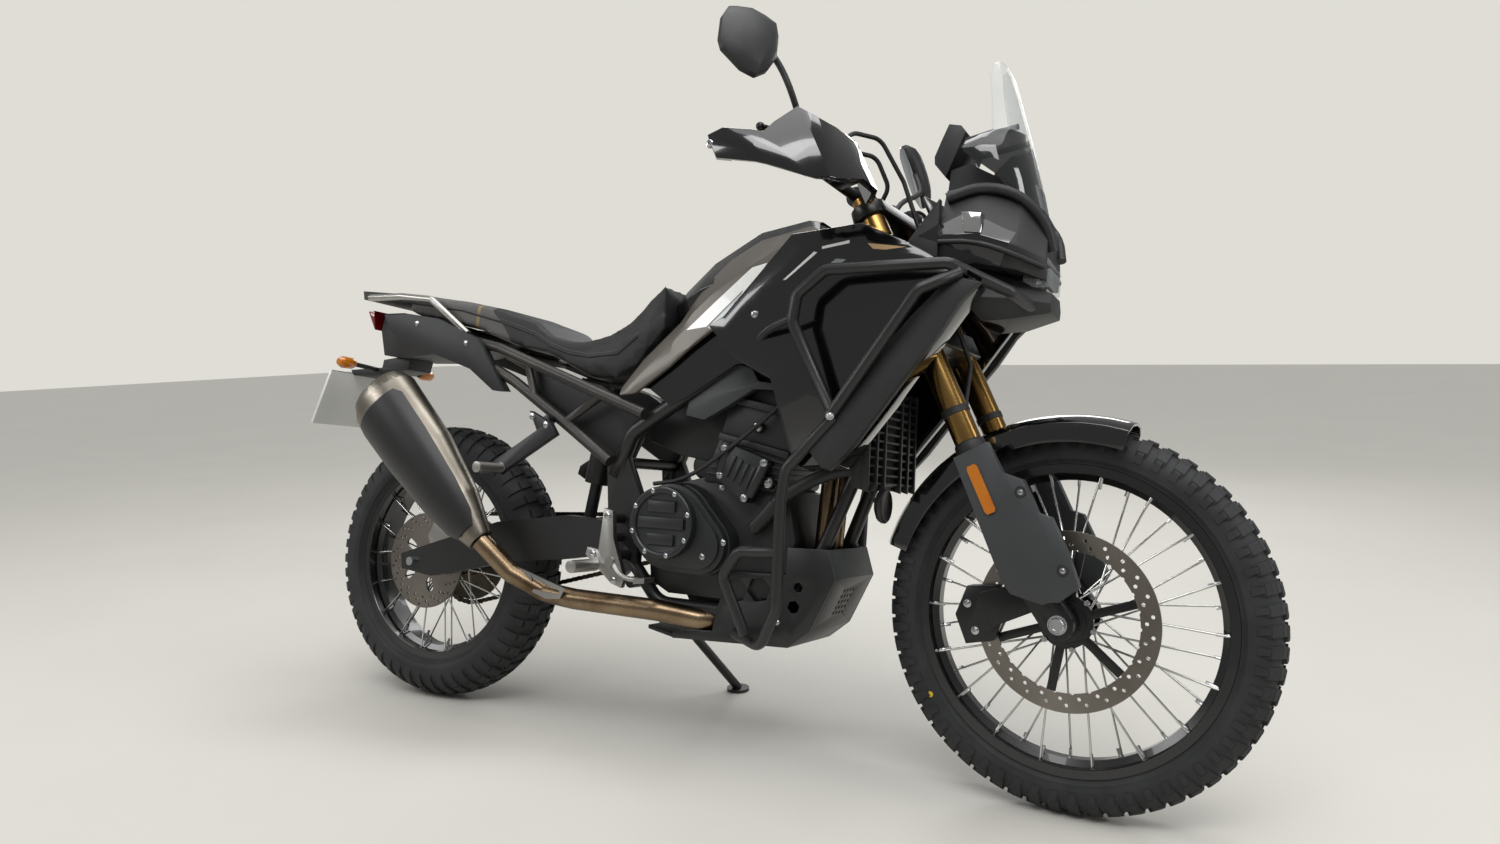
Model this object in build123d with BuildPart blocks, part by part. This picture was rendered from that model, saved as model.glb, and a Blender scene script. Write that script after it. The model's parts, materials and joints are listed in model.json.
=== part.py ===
from build123d import *
import os
from math import cos, degrees, atan, pi, radians, sin, sqrt

os.makedirs("parts", exist_ok=True)

# An adventure motorcycle. Lengths are in mm and angles in degrees. Every piece is drawn on an
# upright machine: x forward from the rear axle, y to the rider's left, z up from the ground.
# The finished pieces are leaned onto the side stand at the end.

# ---- Chassis ----
WHEELBASE = 1505
RAKE = 26  # steering axis, back from vertical
TRAIL = 105
STEER_AT_REST = -3.3  # bars turned a little to the right
STEER_LOCK = 37  # each way from straight ahead
LEAN = 9.8  # resting on the side stand
GAP = 0.3  # running clearance round a turning pin
CLEAR = 6  # between moving pieces

# ---- Wheels: columns are outer radius, crown radius, flange radius, half width of the rim ----
FRONT_TYRE_R, FRONT_CROWN_R, FRONT_RIM_R, FRONT_RIM_HALF = 350, 46, 279, 35
REAR_TYRE_R, REAR_CROWN_R, REAR_RIM_R, REAR_RIM_HALF = 330, 68, 239, 49
TYRE_WALL = 14
RIM_WALL = 5.5
SPOKES = 36
SPOKE_R = 2
AXLE_R = 10
HUB_R = 24
HUB_FLANGE_R = 42

# ---- Brakes and chain ----
FRONT_DISC_R, FRONT_DISC_Y = 160, -60
REAR_DISC_R, REAR_DISC_Y = 114, -78
DISC_T = 5
CHAIN_PITCH = 15.875
REAR_TEETH, FRONT_TEETH = 42, 14
CHAIN_Y = 84
CHAIN_W = 14
CHAIN_H = 13

# ---- Fork, measured along and across the steering axis ----
TUBE_AHEAD = 39
TUBE_SIDE = 106.5
TUBE_R = 25
SLIDER_R = 20.5
TUBE_FOOT, TUBE_TOP = 690, 1235
LOW_CLAMP, LOW_CLAMP_T = 902, 44
TOP_CLAMP, TOP_CLAMP_T = 1192, 26
STEM_R = 16
HEAD_TUBE_R = 30
BAR_R = 11
GRIP_R = 17

# ---- Frame ----
SPAR_R = 17
FRAME_TUBE_R = 14
SUBFRAME_R = 12.5
CRASH_R = 11
PIVOT = (590, 0, 430)
STAND_PIVOT = Vector(575, 122, 262)
STAND_FOOT = Vector(667, 316, 60)
STAND_FOLDED = Vector(-98, 12, -13)  # the folded leg's direction from its pivot
STAND_AXIS = (STAND_FOOT - STAND_PIVOT).cross(STAND_FOLDED).normalized()
STAND_PIN_R = 7
STAND_KNUCKLE = 12
STAND_LEG_R = 10.5

FRONT_AXLE = (WHEELBASE, 0, FRONT_TYRE_R)
REAR_AXLE = (0, 0, REAR_TYRE_R)
FORK = Plane(
    origin=(WHEELBASE + TRAIL, 0, 0),
    x_dir=(cos(radians(RAKE)), 0, sin(radians(RAKE))),
    z_dir=(-sin(radians(RAKE)), 0, cos(radians(RAKE))),
)
AXLE_LOCAL = FORK.to_local_coords(Vector(FRONT_AXLE))
AXLE_AHEAD, AXLE_UP = AXLE_LOCAL.X, AXLE_LOCAL.Z


def lowest(place, axle, outer, crown):
    """How high the lowest point of a leaning tyre is."""
    middle = (place * Location(axle)).position
    across = (place * Location(Vector(*axle) + Vector(0, 1, 0))).position - middle
    return middle.Z - (outer - crown) * sqrt(1 - across.Z**2) - crown


# ---- Parking: lean onto the side stand, both tyres on the floor ----
steering = FORK.location * Location((0, 0, 0), (0, 0, STEER_AT_REST)) * FORK.location.inverse()
pitch = 0
for _ in range(5):
    leaning = Location((0, 0, 0), (-LEAN, 0, 0)) * Location((0, 0, 0), (0, pitch, 0))
    front_low = lowest(leaning * steering, FRONT_AXLE, FRONT_TYRE_R, FRONT_CROWN_R)
    rear_low = lowest(leaning, REAR_AXLE, REAR_TYRE_R, REAR_CROWN_R)
    pitch += degrees(atan((front_low - rear_low) / WHEELBASE))
FLOOR = Plane(leaning.inverse() * Location((0, 0, rear_low)))


def fork(ahead, side, up):
    """A point given ahead of, beside and along the steering axis."""
    return FORK.from_local_coords(Vector(ahead, side, up))


def slab(outline, left, right, mode=Mode.ADD):
    """A side view outline in x and z, filled from y = left to y = right."""
    with BuildSketch(Plane.XZ.offset(-left)) as side:
        with BuildLine():
            Polyline(*outline, close=True)
        make_face()
    extrude(side.sketch, amount=left - right, mode=mode)


def fork_slab(outline, left, right, mode=Mode.ADD):
    """The same for an outline ahead of and along the steering axis."""
    plane = Plane(origin=fork(0, left, 0), x_dir=FORK.x_dir, z_dir=(0, -1, 0))
    with BuildSketch(plane) as side:
        with BuildLine():
            Polyline(*outline, close=True)
        make_face()
    extrude(side.sketch, amount=left - right, mode=mode)


def rod(start, end, radius, mode=Mode.ADD):
    """A round bar between two points."""
    run = Vector(end) - Vector(start)
    with BuildSketch(Plane(origin=start, z_dir=run)) as disc:
        Circle(radius)
    extrude(disc.sketch, amount=run.length, mode=mode)


def tube(points, radius, bend):
    """A bent bar: straight runs joined by arcs."""
    with BuildLine() as path:
        FilletPolyline(*points, radius=bend)
    with BuildSketch(Plane(origin=path.line @ 0, z_dir=path.line % 0)) as ring:
        Circle(radius)
    sweep(ring.sketch, path=path.line)


def flip(points):
    """The same points on the other side of the machine."""
    return [(x, -y, z) for x, y, z in points]


def block(sections, mode=Mode.ADD):
    """A body lofted forward. Columns: x, low z, high z, low half width, high half width, corner."""
    faces = []
    for x, low, high, low_half, high_half, corner in sections:
        with BuildSketch(Plane(origin=(x, 0, 0), x_dir=(0, 1, 0), z_dir=(1, 0, 0))) as face:
            with BuildLine():
                Polyline(
                    (-low_half, low), (low_half, low), (high_half, high), (-high_half, high),
                    close=True,
                )
            make_face()
            fillet(face.vertices(), corner)
        faces.append(face.sketch)
    loft(faces, mode=mode)


def wheel_plane(axle):
    """Across the wheel: radius up the first axis, y along the second."""
    return Plane(origin=axle, x_dir=(0, 0, 1), z_dir=(-1, 0, 0))


def turn(outline, axle, mode=Mode.ADD):
    """A ring about an axle, from corners given as radius and y."""
    with BuildSketch(wheel_plane(axle)) as section:
        with BuildLine():
            Polyline(*outline, close=True)
        make_face()
    revolve(section.sketch, axis=Axis(axle, (0, 1, 0)), mode=mode)


def tyre(axle, outer, crown, rim, rim_half):
    """A hollow tyre with its beads inside the rim's flanges."""
    seat = rim - 11
    bead = rim_half - 4
    hip = outer - crown
    inner = crown - TYRE_WALL
    with BuildSketch(wheel_plane(axle)) as section:
        with BuildLine():
            Line((seat, bead), (rim + 2, bead))
            Line((rim + 2, bead), (hip, crown))
            ThreePointArc((hip, crown), (outer, 0), (hip, -crown))
            Line((hip, -crown), (rim + 2, -bead))
            Line((rim + 2, -bead), (seat, -bead))
            Line((seat, -bead), (seat, TYRE_WALL - bead))
            Line((seat, TYRE_WALL - bead), (hip, -inner))
            ThreePointArc((hip, -inner), (hip + inner, 0), (hip, inner))
            Line((hip, inner), (seat, bead - TYRE_WALL))
            Line((seat, bead - TYRE_WALL), (seat, bead))
        make_face()
    revolve(section.sketch, axis=Axis(axle, (0, 1, 0)))


def rim(axle, radius, half):
    """A dropped centre rim with an upright flange on each edge."""
    seat = radius - 11.3
    shelf = half * 0.5
    well = shelf - 6
    outer = [(radius, half), (radius, half - 4), (seat, half - 4), (seat, shelf), (seat - 12, well)]
    inner = [(seat - 12 - RIM_WALL, well), (seat - RIM_WALL, shelf), (seat - RIM_WALL, half)]
    around = outer + [(r, -y) for r, y in reversed(outer)]
    turn(around + [(r, -y) for r, y in reversed(inner)] + inner, axle)


def spokes(axle, rim_radius, shelf, flange_y):
    """Crossed spokes from two hub flanges to the rim."""
    step = 360 / SPOKES
    for n in range(SPOKES):
        side = 1 if n % 2 else -1
        lacing = 34 if n % 4 < 2 else -34
        at_rim = radians(n * step)
        at_hub = radians(n * step + lacing)
        hub_y = side * (flange_y + (3 if n % 4 < 2 else -3))
        rod(
            (axle[0] + (HUB_FLANGE_R - 6) * cos(at_hub), hub_y, axle[2] + (HUB_FLANGE_R - 6) * sin(at_hub)),
            (axle[0] + rim_radius * cos(at_rim), side * shelf, axle[2] + rim_radius * sin(at_rim)),
            SPOKE_R,
        )


def chain_path(grow):
    """Straight runs round both sprockets, with the sprockets' pitch radii grown by this much."""
    far = REAR_PITCH_R + grow
    near = FRONT_PITCH_R + grow
    with BuildSketch(Plane.XZ.offset(-CHAIN_Y - CHAIN_W / 2)) as side:
        with Locations((REAR_AXLE[0], REAR_AXLE[2])):
            Circle(far)
        with Locations((SPROCKET[0], SPROCKET[2])):
            Circle(near)
        make_hull()
    return side.sketch


REAR_PITCH_R = CHAIN_PITCH / 2 / sin(pi / REAR_TEETH)
FRONT_PITCH_R = CHAIN_PITCH / 2 / sin(pi / FRONT_TEETH)
SPROCKET = (650, CHAIN_Y, 440)

# ---- Room left for what moves ----
CLAMP_R = TUBE_R + 9
SWING_R = sqrt(TUBE_AHEAD**2 + TUBE_SIDE**2) + CLAMP_R + CLEAR
SWING_BACK = TUBE_SIDE * sin(radians(STEER_LOCK)) - TUBE_AHEAD * cos(radians(STEER_LOCK)) + CLAMP_R + CLEAR
with BuildPart() as fork_room:
    rod(fork(0, 0, TUBE_FOOT - 40), fork(0, 0, TUBE_TOP + 14), SWING_R)
    fork_slab([(-SWING_BACK, 500), (-SWING_BACK, 1400), (-400, 1400), (-400, 500)], 200, -200,
              mode=Mode.SUBTRACT)

with BuildPart() as chain_room:
    extrude(chain_path(CHAIN_H + CLEAR), amount=CHAIN_W)
    extrude(chain_path(-CLEAR), amount=CHAIN_W, mode=Mode.SUBTRACT)

# ---- Front wheel ----
with BuildPart() as front_tyre:
    tyre(FRONT_AXLE, FRONT_TYRE_R, FRONT_CROWN_R, FRONT_RIM_R, FRONT_RIM_HALF)

with BuildPart() as front_rim:
    rim(FRONT_AXLE, FRONT_RIM_R, FRONT_RIM_HALF)

FRONT_HUB_HALF = 46
with BuildPart() as front_hub:
    turn([(AXLE_R + GAP, -FRONT_HUB_HALF), (HUB_R, -FRONT_HUB_HALF), (HUB_R, FRONT_HUB_HALF),
          (AXLE_R + GAP, FRONT_HUB_HALF)], FRONT_AXLE)
    for y in (-32, 32):
        turn([(HUB_R - 2, y - 7), (HUB_FLANGE_R, y - 7), (HUB_FLANGE_R, y + 7), (HUB_R - 2, y + 7)],
             FRONT_AXLE)
    spokes(FRONT_AXLE, FRONT_RIM_R - 14, 24, 32)
    add(front_rim.part, mode=Mode.SUBTRACT)

DISC_BAND = 34
with BuildPart() as front_disc:
    turn([(FRONT_DISC_R - DISC_BAND, FRONT_DISC_Y - DISC_T / 2), (FRONT_DISC_R, FRONT_DISC_Y - DISC_T / 2),
          (FRONT_DISC_R, FRONT_DISC_Y + DISC_T / 2), (FRONT_DISC_R - DISC_BAND, FRONT_DISC_Y + DISC_T / 2)],
         FRONT_AXLE)

CARRIER_ARMS = 6
with BuildPart() as disc_carrier:
    turn([(AXLE_R + GAP, -FRONT_HUB_HALF), (36, -FRONT_HUB_HALF), (36, FRONT_DISC_Y - 6),
          (AXLE_R + GAP, FRONT_DISC_Y - 6)], FRONT_AXLE)
    with BuildSketch(Plane.XZ.offset(-FRONT_DISC_Y - 2)) as arms:
        with Locations((FRONT_AXLE[0], FRONT_AXLE[2])):
            Circle(48)
            with PolarLocations(80, CARRIER_ARMS, start_angle=20):
                Rectangle(100, 16)
            Circle(30, mode=Mode.SUBTRACT)
    extrude(arms.sketch, amount=4)
    add(front_disc.part, mode=Mode.SUBTRACT)

# ---- Rear wheel ----
with BuildPart() as rear_tyre:
    tyre(REAR_AXLE, REAR_TYRE_R, REAR_CROWN_R, REAR_RIM_R, REAR_RIM_HALF)

with BuildPart() as rear_rim:
    rim(REAR_AXLE, REAR_RIM_R, REAR_RIM_HALF)

REAR_HUB_HALF = 66
with BuildPart() as rear_hub:
    turn([(AXLE_R + GAP, -REAR_HUB_HALF), (HUB_R + 6, -REAR_HUB_HALF), (HUB_R + 6, REAR_HUB_HALF),
          (AXLE_R + GAP, REAR_HUB_HALF)], REAR_AXLE)
    for y in (-36, 36):
        turn([(HUB_R, y - 8), (HUB_FLANGE_R, y - 8), (HUB_FLANGE_R, y + 8), (HUB_R, y + 8)], REAR_AXLE)
    spokes(REAR_AXLE, REAR_RIM_R - 14, 32, 36)
    add(rear_rim.part, mode=Mode.SUBTRACT)

with BuildPart() as rear_disc:
    turn([(38, -REAR_HUB_HALF), (AXLE_R + GAP, -REAR_HUB_HALF), (AXLE_R + GAP, REAR_DISC_Y - 4),
          (38, REAR_DISC_Y - 4)], REAR_AXLE)
    turn([(30, REAR_DISC_Y - DISC_T / 2), (REAR_DISC_R, REAR_DISC_Y - DISC_T / 2),
          (REAR_DISC_R, REAR_DISC_Y + DISC_T / 2), (30, REAR_DISC_Y + DISC_T / 2)], REAR_AXLE)
    with BuildSketch(Plane.XZ.offset(-REAR_DISC_Y - 10)) as windows:
        with Locations((REAR_AXLE[0], REAR_AXLE[2])):
            with PolarLocations((38 + REAR_DISC_R - DISC_BAND) / 2, 5):
                SlotOverall(34, 20)
    extrude(windows.sketch, amount=20, mode=Mode.SUBTRACT)

with BuildPart() as rear_sprocket:
    turn([(AXLE_R + GAP, REAR_HUB_HALF), (44, REAR_HUB_HALF), (44, CHAIN_Y + 4),
          (AXLE_R + GAP, CHAIN_Y + 4)], REAR_AXLE)
    turn([(30, CHAIN_Y - 3), (REAR_PITCH_R - 1, CHAIN_Y - 3), (REAR_PITCH_R - 1, CHAIN_Y + 3),
          (30, CHAIN_Y + 3)], REAR_AXLE)

# ---- Chain: one fixed loop round both sprockets ----
with BuildPart() as chain:
    extrude(chain_path(CHAIN_H), amount=CHAIN_W)
    extrude(chain_path(0), amount=CHAIN_W, mode=Mode.SUBTRACT)

# ---- Fork and steering ----
with BuildPart() as triple_clamps:
    for foot, thick in ((LOW_CLAMP, LOW_CLAMP_T), (TOP_CLAMP, TOP_CLAMP_T)):
        with BuildSketch(FORK.offset(foot)) as yoke:
            with Locations((0, 0)):
                Circle(HEAD_TUBE_R + 4)
            with Locations((TUBE_AHEAD, -TUBE_SIDE), (TUBE_AHEAD, TUBE_SIDE)):
                Circle(TUBE_R + 9)
            make_hull()
        extrude(yoke.sketch, amount=thick)
    rod(fork(0, 0, LOW_CLAMP), fork(0, 0, TOP_CLAMP + TOP_CLAMP_T + 10), STEM_R)
    for side in (-42, 42):
        rod(fork(12, side, TOP_CLAMP + 4), fork(12, side, 1262), 13)
    for side in (-TUBE_SIDE, TUBE_SIDE):
        rod(fork(TUBE_AHEAD, side, LOW_CLAMP - 5), fork(TUBE_AHEAD, side, 1260), TUBE_R, mode=Mode.SUBTRACT)

with BuildPart() as fork_tubes:
    for side in (-TUBE_SIDE, TUBE_SIDE):
        rod(fork(TUBE_AHEAD, side, TUBE_FOOT), fork(TUBE_AHEAD, side, TUBE_TOP), TUBE_R)

with BuildPart() as fork_legs:
    for side in (-TUBE_SIDE, TUBE_SIDE):
        rod(fork(TUBE_AHEAD, side, AXLE_UP + 60), fork(TUBE_AHEAD, side, TUBE_FOOT), SLIDER_R)
        with BuildSketch(Plane(origin=fork(0, side + 17, 0), x_dir=FORK.x_dir, z_dir=(0, -1, 0))) as lug:
            with Locations((AXLE_AHEAD, AXLE_UP)):
                Circle(27)
            with Locations((TUBE_AHEAD, AXLE_UP + 100)):
                Circle(24)
            make_hull()
        extrude(lug.sketch, amount=34)
    rod(fork(AXLE_AHEAD, -150, AXLE_UP), fork(AXLE_AHEAD, 150, AXLE_UP), AXLE_R, mode=Mode.SUBTRACT)

with BuildPart() as front_axle:
    rod(fork(AXLE_AHEAD, -TUBE_SIDE - 26, AXLE_UP), fork(AXLE_AHEAD, TUBE_SIDE + 26, AXLE_UP), AXLE_R)

GUARD = [(10, 696), (78, 698), (82, 636), (110, 610), (110, 548), (128, 532), (129, 467), (123, 406),
         (74, 393), (52, 402), (9, 437), (3, 463)]
with BuildPart() as fork_guards:
    for near, far in ((-TUBE_SIDE - 12, -TUBE_SIDE - 34), (TUBE_SIDE + 34, TUBE_SIDE + 12)):
        fork_slab(GUARD, near, far)
    for side in (-TUBE_SIDE, TUBE_SIDE):
        rod(fork(TUBE_AHEAD, side, 380), fork(TUBE_AHEAD, side, 710), TUBE_R + 1, mode=Mode.SUBTRACT)
        rod(fork(AXLE_AHEAD, side - 40, AXLE_UP), fork(AXLE_AHEAD, side + 40, AXLE_UP), 40, mode=Mode.SUBTRACT)
    add(fork_legs.part, mode=Mode.SUBTRACT)

FENDER_IN = FRONT_TYRE_R + 13
with BuildPart() as front_fender:
    with BuildSketch(wheel_plane(FRONT_AXLE)) as shell:
        with BuildLine():
            Polyline((FENDER_IN - 45, -66), (FENDER_IN - 10, -64), (FENDER_IN + 4, -38), (FENDER_IN + 8, 0),
                     (FENDER_IN + 4, 38), (FENDER_IN - 10, 64), (FENDER_IN - 45, 66), (FENDER_IN - 45, 61),
                     (FENDER_IN - 12, 59), (FENDER_IN, 35), (FENDER_IN + 3, 0), (FENDER_IN, -35),
                     (FENDER_IN - 12, -59), (FENDER_IN - 45, -61), close=True)
        make_face()
    revolve(shell.sketch, axis=Axis(FRONT_AXLE, (0, -1, 0)), revolution_arc=72)
    revolve(shell.sketch, axis=Axis(FRONT_AXLE, (0, 1, 0)), revolution_arc=16)

with BuildPart() as front_caliper:
    fork_slab([(-123, 384), (-72, 372), (-30, 410), (-26, 462), (-78, 480), (-120, 440)], -44, -80)
    fork_slab([(-60, 395), (24, 395), (24, 450), (-60, 460)], -80, -TUBE_SIDE + 17)
    turn([(0, FRONT_DISC_Y + 5), (FRONT_DISC_R + 3, FRONT_DISC_Y + 5), (FRONT_DISC_R + 3, FRONT_DISC_Y - 5),
          (0, FRONT_DISC_Y - 5)], FRONT_AXLE, mode=Mode.SUBTRACT)
    turn([(0, -40), (56, -40), (56, -90), (0, -90)], FRONT_AXLE, mode=Mode.SUBTRACT)
    add(fork_legs.part, mode=Mode.SUBTRACT)

BAR_PATH = [(12, 0, 1275), (12, 60, 1275), (2, 190, 1306), (-60, 440, 1326)]
BAR_R_PATH = [(a, -s, u) for a, s, u in reversed(BAR_PATH[1:])] + BAR_PATH[1:]
with BuildPart() as handlebar:
    tube([fork(*p) for p in BAR_R_PATH], BAR_R, 60)
    for side in (-42, 42):
        rod(fork(12, side - 14, 1275), fork(12, side + 14, 1275), 21)
    add(triple_clamps.part, mode=Mode.SUBTRACT)


def along_bar(share):
    """A point on the outer run of the left bar, from its inner bend to its end."""
    inner = Vector(*BAR_PATH[2])
    return inner + (Vector(*BAR_PATH[3]) - inner) * share


with BuildPart() as grips:
    for sign in (-1, 1):
        inner, outer = along_bar(0.42), along_bar(0.96)
        rod(fork(inner.X, sign * inner.Y, inner.Z), fork(outer.X, sign * outer.Y, outer.Z), GRIP_R)
    add(handlebar.part, mode=Mode.SUBTRACT)

GUARD_PLAN = [(-72, 446), (-66, 460), (10, 452), (84, 400), (116, 320), (116, 240), (104, 236), (104, 316),
              (74, 390), (6, 440), (-48, 448), (-50, 441)]
with BuildPart() as handguards:
    for sign in (-1, 1):
        with BuildSketch(FORK.offset(1232)) as plan:
            with BuildLine():
                Polyline(*[(n, sign * s) for n, s in GUARD_PLAN], close=True)
            make_face()
        extrude(plan.sketch, amount=108)
    for y in (-470, 470):
        fork_slab([(-90, 1220), (-10, 1220), (-10, 1290), (-90, 1312)], max(y, 0), min(y, 0), mode=Mode.SUBTRACT)
        fork_slab([(30, 1345), (130, 1345), (130, 1290)], max(y, 0), min(y, 0), mode=Mode.SUBTRACT)
    add(handlebar.part, mode=Mode.SUBTRACT)

with BuildPart() as hand_controls:
    for sign in (-1, 1):
        for share, radius, length in ((0.2, 19, 0.18),):
            a, b = along_bar(share), along_bar(share + length)
            rod(fork(a.X, sign * a.Y, a.Z), fork(b.X, sign * b.Y, b.Z), radius)
        a, b, c = along_bar(0.16), along_bar(0.24), along_bar(0.9)
        rod(fork(a.X, sign * a.Y, a.Z), fork(a.X + 40, sign * (a.Y + 10), a.Z - 6), 9)
        tube([fork(a.X + 36, sign * (a.Y - 6), a.Z - 6), fork(a.X + 62, sign * (a.Y + 40), a.Z - 8),
              fork(c.X + 62, sign * c.Y, c.Z - 8)], 5.5, 30)
    add(handlebar.part, mode=Mode.SUBTRACT)

with BuildPart() as mirrors:
    for sign in (-1, 1):
        foot = along_bar(0.1)
        tube([fork(foot.X, sign * foot.Y, foot.Z + BAR_R), fork(foot.X + 8, sign * (foot.Y + 10), foot.Z + 70),
              fork(30, sign * 330, 1445), fork(24, sign * 372, 1478)], 6, 14)
        with BuildSketch(Plane(origin=fork(10, sign * 392, 1492), x_dir=(0, 1, 0), z_dir=FORK.x_dir)) as glass:
            RectangleRounded(138, 92, 26)
        extrude(glass.sketch, amount=16)
        with BuildSketch(Plane(origin=fork(52, sign * 385, 1488), x_dir=(0, 1, 0), z_dir=FORK.x_dir)) as back:
            RectangleRounded(80, 46, 18)
        loft([glass.sketch.moved(Location(FORK.x_dir * 16)), back.sketch])
    add(handlebar.part, mode=Mode.SUBTRACT)

HOSE_R = 4.5
# Routes from the right hand controls, in fork coordinates: brake hose to the caliper, throttle cable
CABLE_ROUTES = (
    [(24, -205, 1306), (84, -150, 1350), (112, -84, 1340), (112, -52, 1250), (96, -40, 1120),
     (92, -36, 980), (84, -40, 860), (30, -60, 760)],
    [(20, -180, 1302), (64, -140, 1322), (92, -92, 1308), (84, -66, 1250), (44, -62, 1222)],
)
with BuildPart() as control_cables:
    for route in CABLE_ROUTES:
        tube([fork(*p) for p in route], HOSE_R, 30)
    add(triple_clamps.part, mode=Mode.SUBTRACT)
    add(handlebar.part, mode=Mode.SUBTRACT)

# ---- Frame ----
HEAD_LOW = LOW_CLAMP + LOW_CLAMP_T + 2
HEAD_HIGH = TOP_CLAMP - 2
with BuildPart() as main_frame:
    rod(fork(0, 0, HEAD_LOW), fork(0, 0, HEAD_HIGH), HEAD_TUBE_R)
    for sign in (-1, 1):
        tube([fork(-10, sign * 14, HEAD_HIGH - 60), (1010, sign * 90, 930), (852, sign * 118, 817),
              (601, sign * 118, 654), (560, sign * 112, 560)], SPAR_R, 60)
        tube([fork(-16, sign * 12, HEAD_LOW + 80), fork(-SWING_BACK - 6, sign * 40, HEAD_LOW + 14),
              (1104, sign * 56, 620), (1010, sign * 70, 380),
              (900, sign * 80, 296), (680, sign * 100, 300), (600, sign * 112, 400)], FRAME_TUBE_R, 50)
        tube([(852, sign * 118, 817), (1000, sign * 96, 740), (1100, sign * 50, 690)], FRAME_TUBE_R, 40)
        slab([(540, 600), (590, 610), (632, 520), (632, 380), (600, 350), (556, 372), (552, 480)],
             sign * 112 + 10, sign * 112 - 10)
    for x, z in ((575, 590), (612, 336)):
        rod((x, -110, z), (x, 110, z), 12)
    rod((690, 100, 299), STAND_PIVOT - STAND_AXIS * (STAND_KNUCKLE + 21), 10)
    rod(STAND_PIVOT - STAND_AXIS * (STAND_KNUCKLE + 26), STAND_PIVOT - STAND_AXIS * (STAND_KNUCKLE + 2), 20)
    rod(STAND_PIVOT - STAND_AXIS * (STAND_KNUCKLE + 26), STAND_PIVOT + STAND_AXIS * (STAND_KNUCKLE + 6), STAND_PIN_R)
    rod(STAND_PIVOT + STAND_AXIS * (STAND_KNUCKLE + 1), STAND_PIVOT + STAND_AXIS * (STAND_KNUCKLE + 6), 11)
    rod(fork(0, 0, HEAD_LOW - 10), fork(0, 0, HEAD_HIGH + 10), STEM_R + GAP, mode=Mode.SUBTRACT)
    rod((PIVOT[0], -150, PIVOT[2]), (PIVOT[0], 150, PIVOT[2]), 9, mode=Mode.SUBTRACT)

with BuildPart() as subframe:
    for sign in (-1, 1):
        tube([(-60, sign * 92, 900), (213, sign * 112, 841), (644, sign * 146, 693)], SUBFRAME_R, 90)
        tube([(60, sign * 96, 856), (265, sign * 116, 764), (430, sign * 128, 668), (560, sign * 140, 590)],
             SUBFRAME_R, 70)
        rod((302, sign * 120, 808), (333, sign * 120, 722), 9)
        rod((529, sign * 137, 733), (425, sign * 128, 672), 9)
    for x, z in ((-40, 893), (240, 830)):
        rod((x, -94, z), (x, 94, z), 10)
    add(main_frame.part, mode=Mode.SUBTRACT)

with BuildPart() as swingarm:
    for left, right in ((-90, -122), (128, 98)):
        slab([(-34, 310), (-40, 345), (40, 372), (249, 440), (442, 468), (560, 462), (615, 452), (618, 408),
              (560, 392), (451, 372), (286, 352), (60, 300)], left, right)
    slab([(372, 378), (372, 440), (450, 445), (450, 385)], 98, -90)
    rod((PIVOT[0], -90, PIVOT[2]), (PIVOT[0], 98, PIVOT[2]), 24)
    rod((PIVOT[0], -150, PIVOT[2]), (PIVOT[0], 150, PIVOT[2]), 9)
    rod((0, -150, REAR_TYRE_R), (0, 150, REAR_TYRE_R), AXLE_R, mode=Mode.SUBTRACT)
    for tool in (chain_room, main_frame):
        add(tool.part, mode=Mode.SUBTRACT)

with BuildPart() as rear_axle:
    rod((0, -134, REAR_TYRE_R), (0, 140, REAR_TYRE_R), AXLE_R)

with BuildPart() as rear_caliper:
    slab([(40, 330), (110, 350), (130, 400), (90, 440), (30, 430), (10, 390)], REAR_DISC_Y + 16, -90)
    turn([(0, REAR_DISC_Y + 5), (REAR_DISC_R + 3, REAR_DISC_Y + 5), (REAR_DISC_R + 3, REAR_DISC_Y - 5),
          (0, REAR_DISC_Y - 5)], REAR_AXLE, mode=Mode.SUBTRACT)
    turn([(0, -50), (44, -50), (44, -89), (0, -89)], REAR_AXLE, mode=Mode.SUBTRACT)

with BuildPart() as rear_shock:
    rod((415, 0, 446), (470, 0, 760), 14)
    rod((432, 0, 540), (466, 0, 736), 29)
    add(swingarm.part, mode=Mode.SUBTRACT)

# ---- Engine ----
CASE = [(655, 345), (640, 470), (662, 540), (800, 575), (965, 545), (985, 450), (960, 345), (900, 322),
        (700, 322)]
CASE_HALF = 98
CYLINDER_HALF = 112
# Side covers. Columns: side, two circles as x, z, radius, then how far out the case and the cover reach
COVERS = (
    (-1, (730, 462, 92), (800, 430, 62), 140, 166),
    (1, (800, 450, 86), (880, 440, 50), 140, 168),
)


def cover(side, first, second, near, far, shrink=0):
    """A bulge on one side of the case round two circles."""
    with BuildSketch(Plane.XZ.offset(-side * near)) as outline:
        for x, z, radius in (first, second):
            with Locations((x, z)):
                Circle(radius - shrink)
        make_hull()
    extrude(outline.sketch, amount=-side * (far - near))


with BuildPart() as engine:
    slab(CASE, 78, -CASE_HALF)
    slab([(x if x > 690 else 700, z) for x, z in CASE[3:]] + [(700, 560)], CASE_HALF, 70)
    slab([(772, 560), (936, 545), (998, 700), (990, 770), (850, 790), (826, 730)], CYLINDER_HALF, -CYLINDER_HALF)
    for side, first, second, near, far in COVERS:
        cover(side, first, second, CASE_HALF - 1, near)
    add(main_frame.part, mode=Mode.SUBTRACT)
    extrude(chain_path(CHAIN_H + CLEAR), amount=CHAIN_W, mode=Mode.SUBTRACT)
    rod((SPROCKET[0], 70, SPROCKET[2]), (SPROCKET[0], CHAIN_Y + 4, SPROCKET[2]), 15)
    rod((SPROCKET[0], CHAIN_Y - 4, SPROCKET[2]), (SPROCKET[0], CHAIN_Y + 4, SPROCKET[2]), FRONT_PITCH_R - 1)

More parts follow.
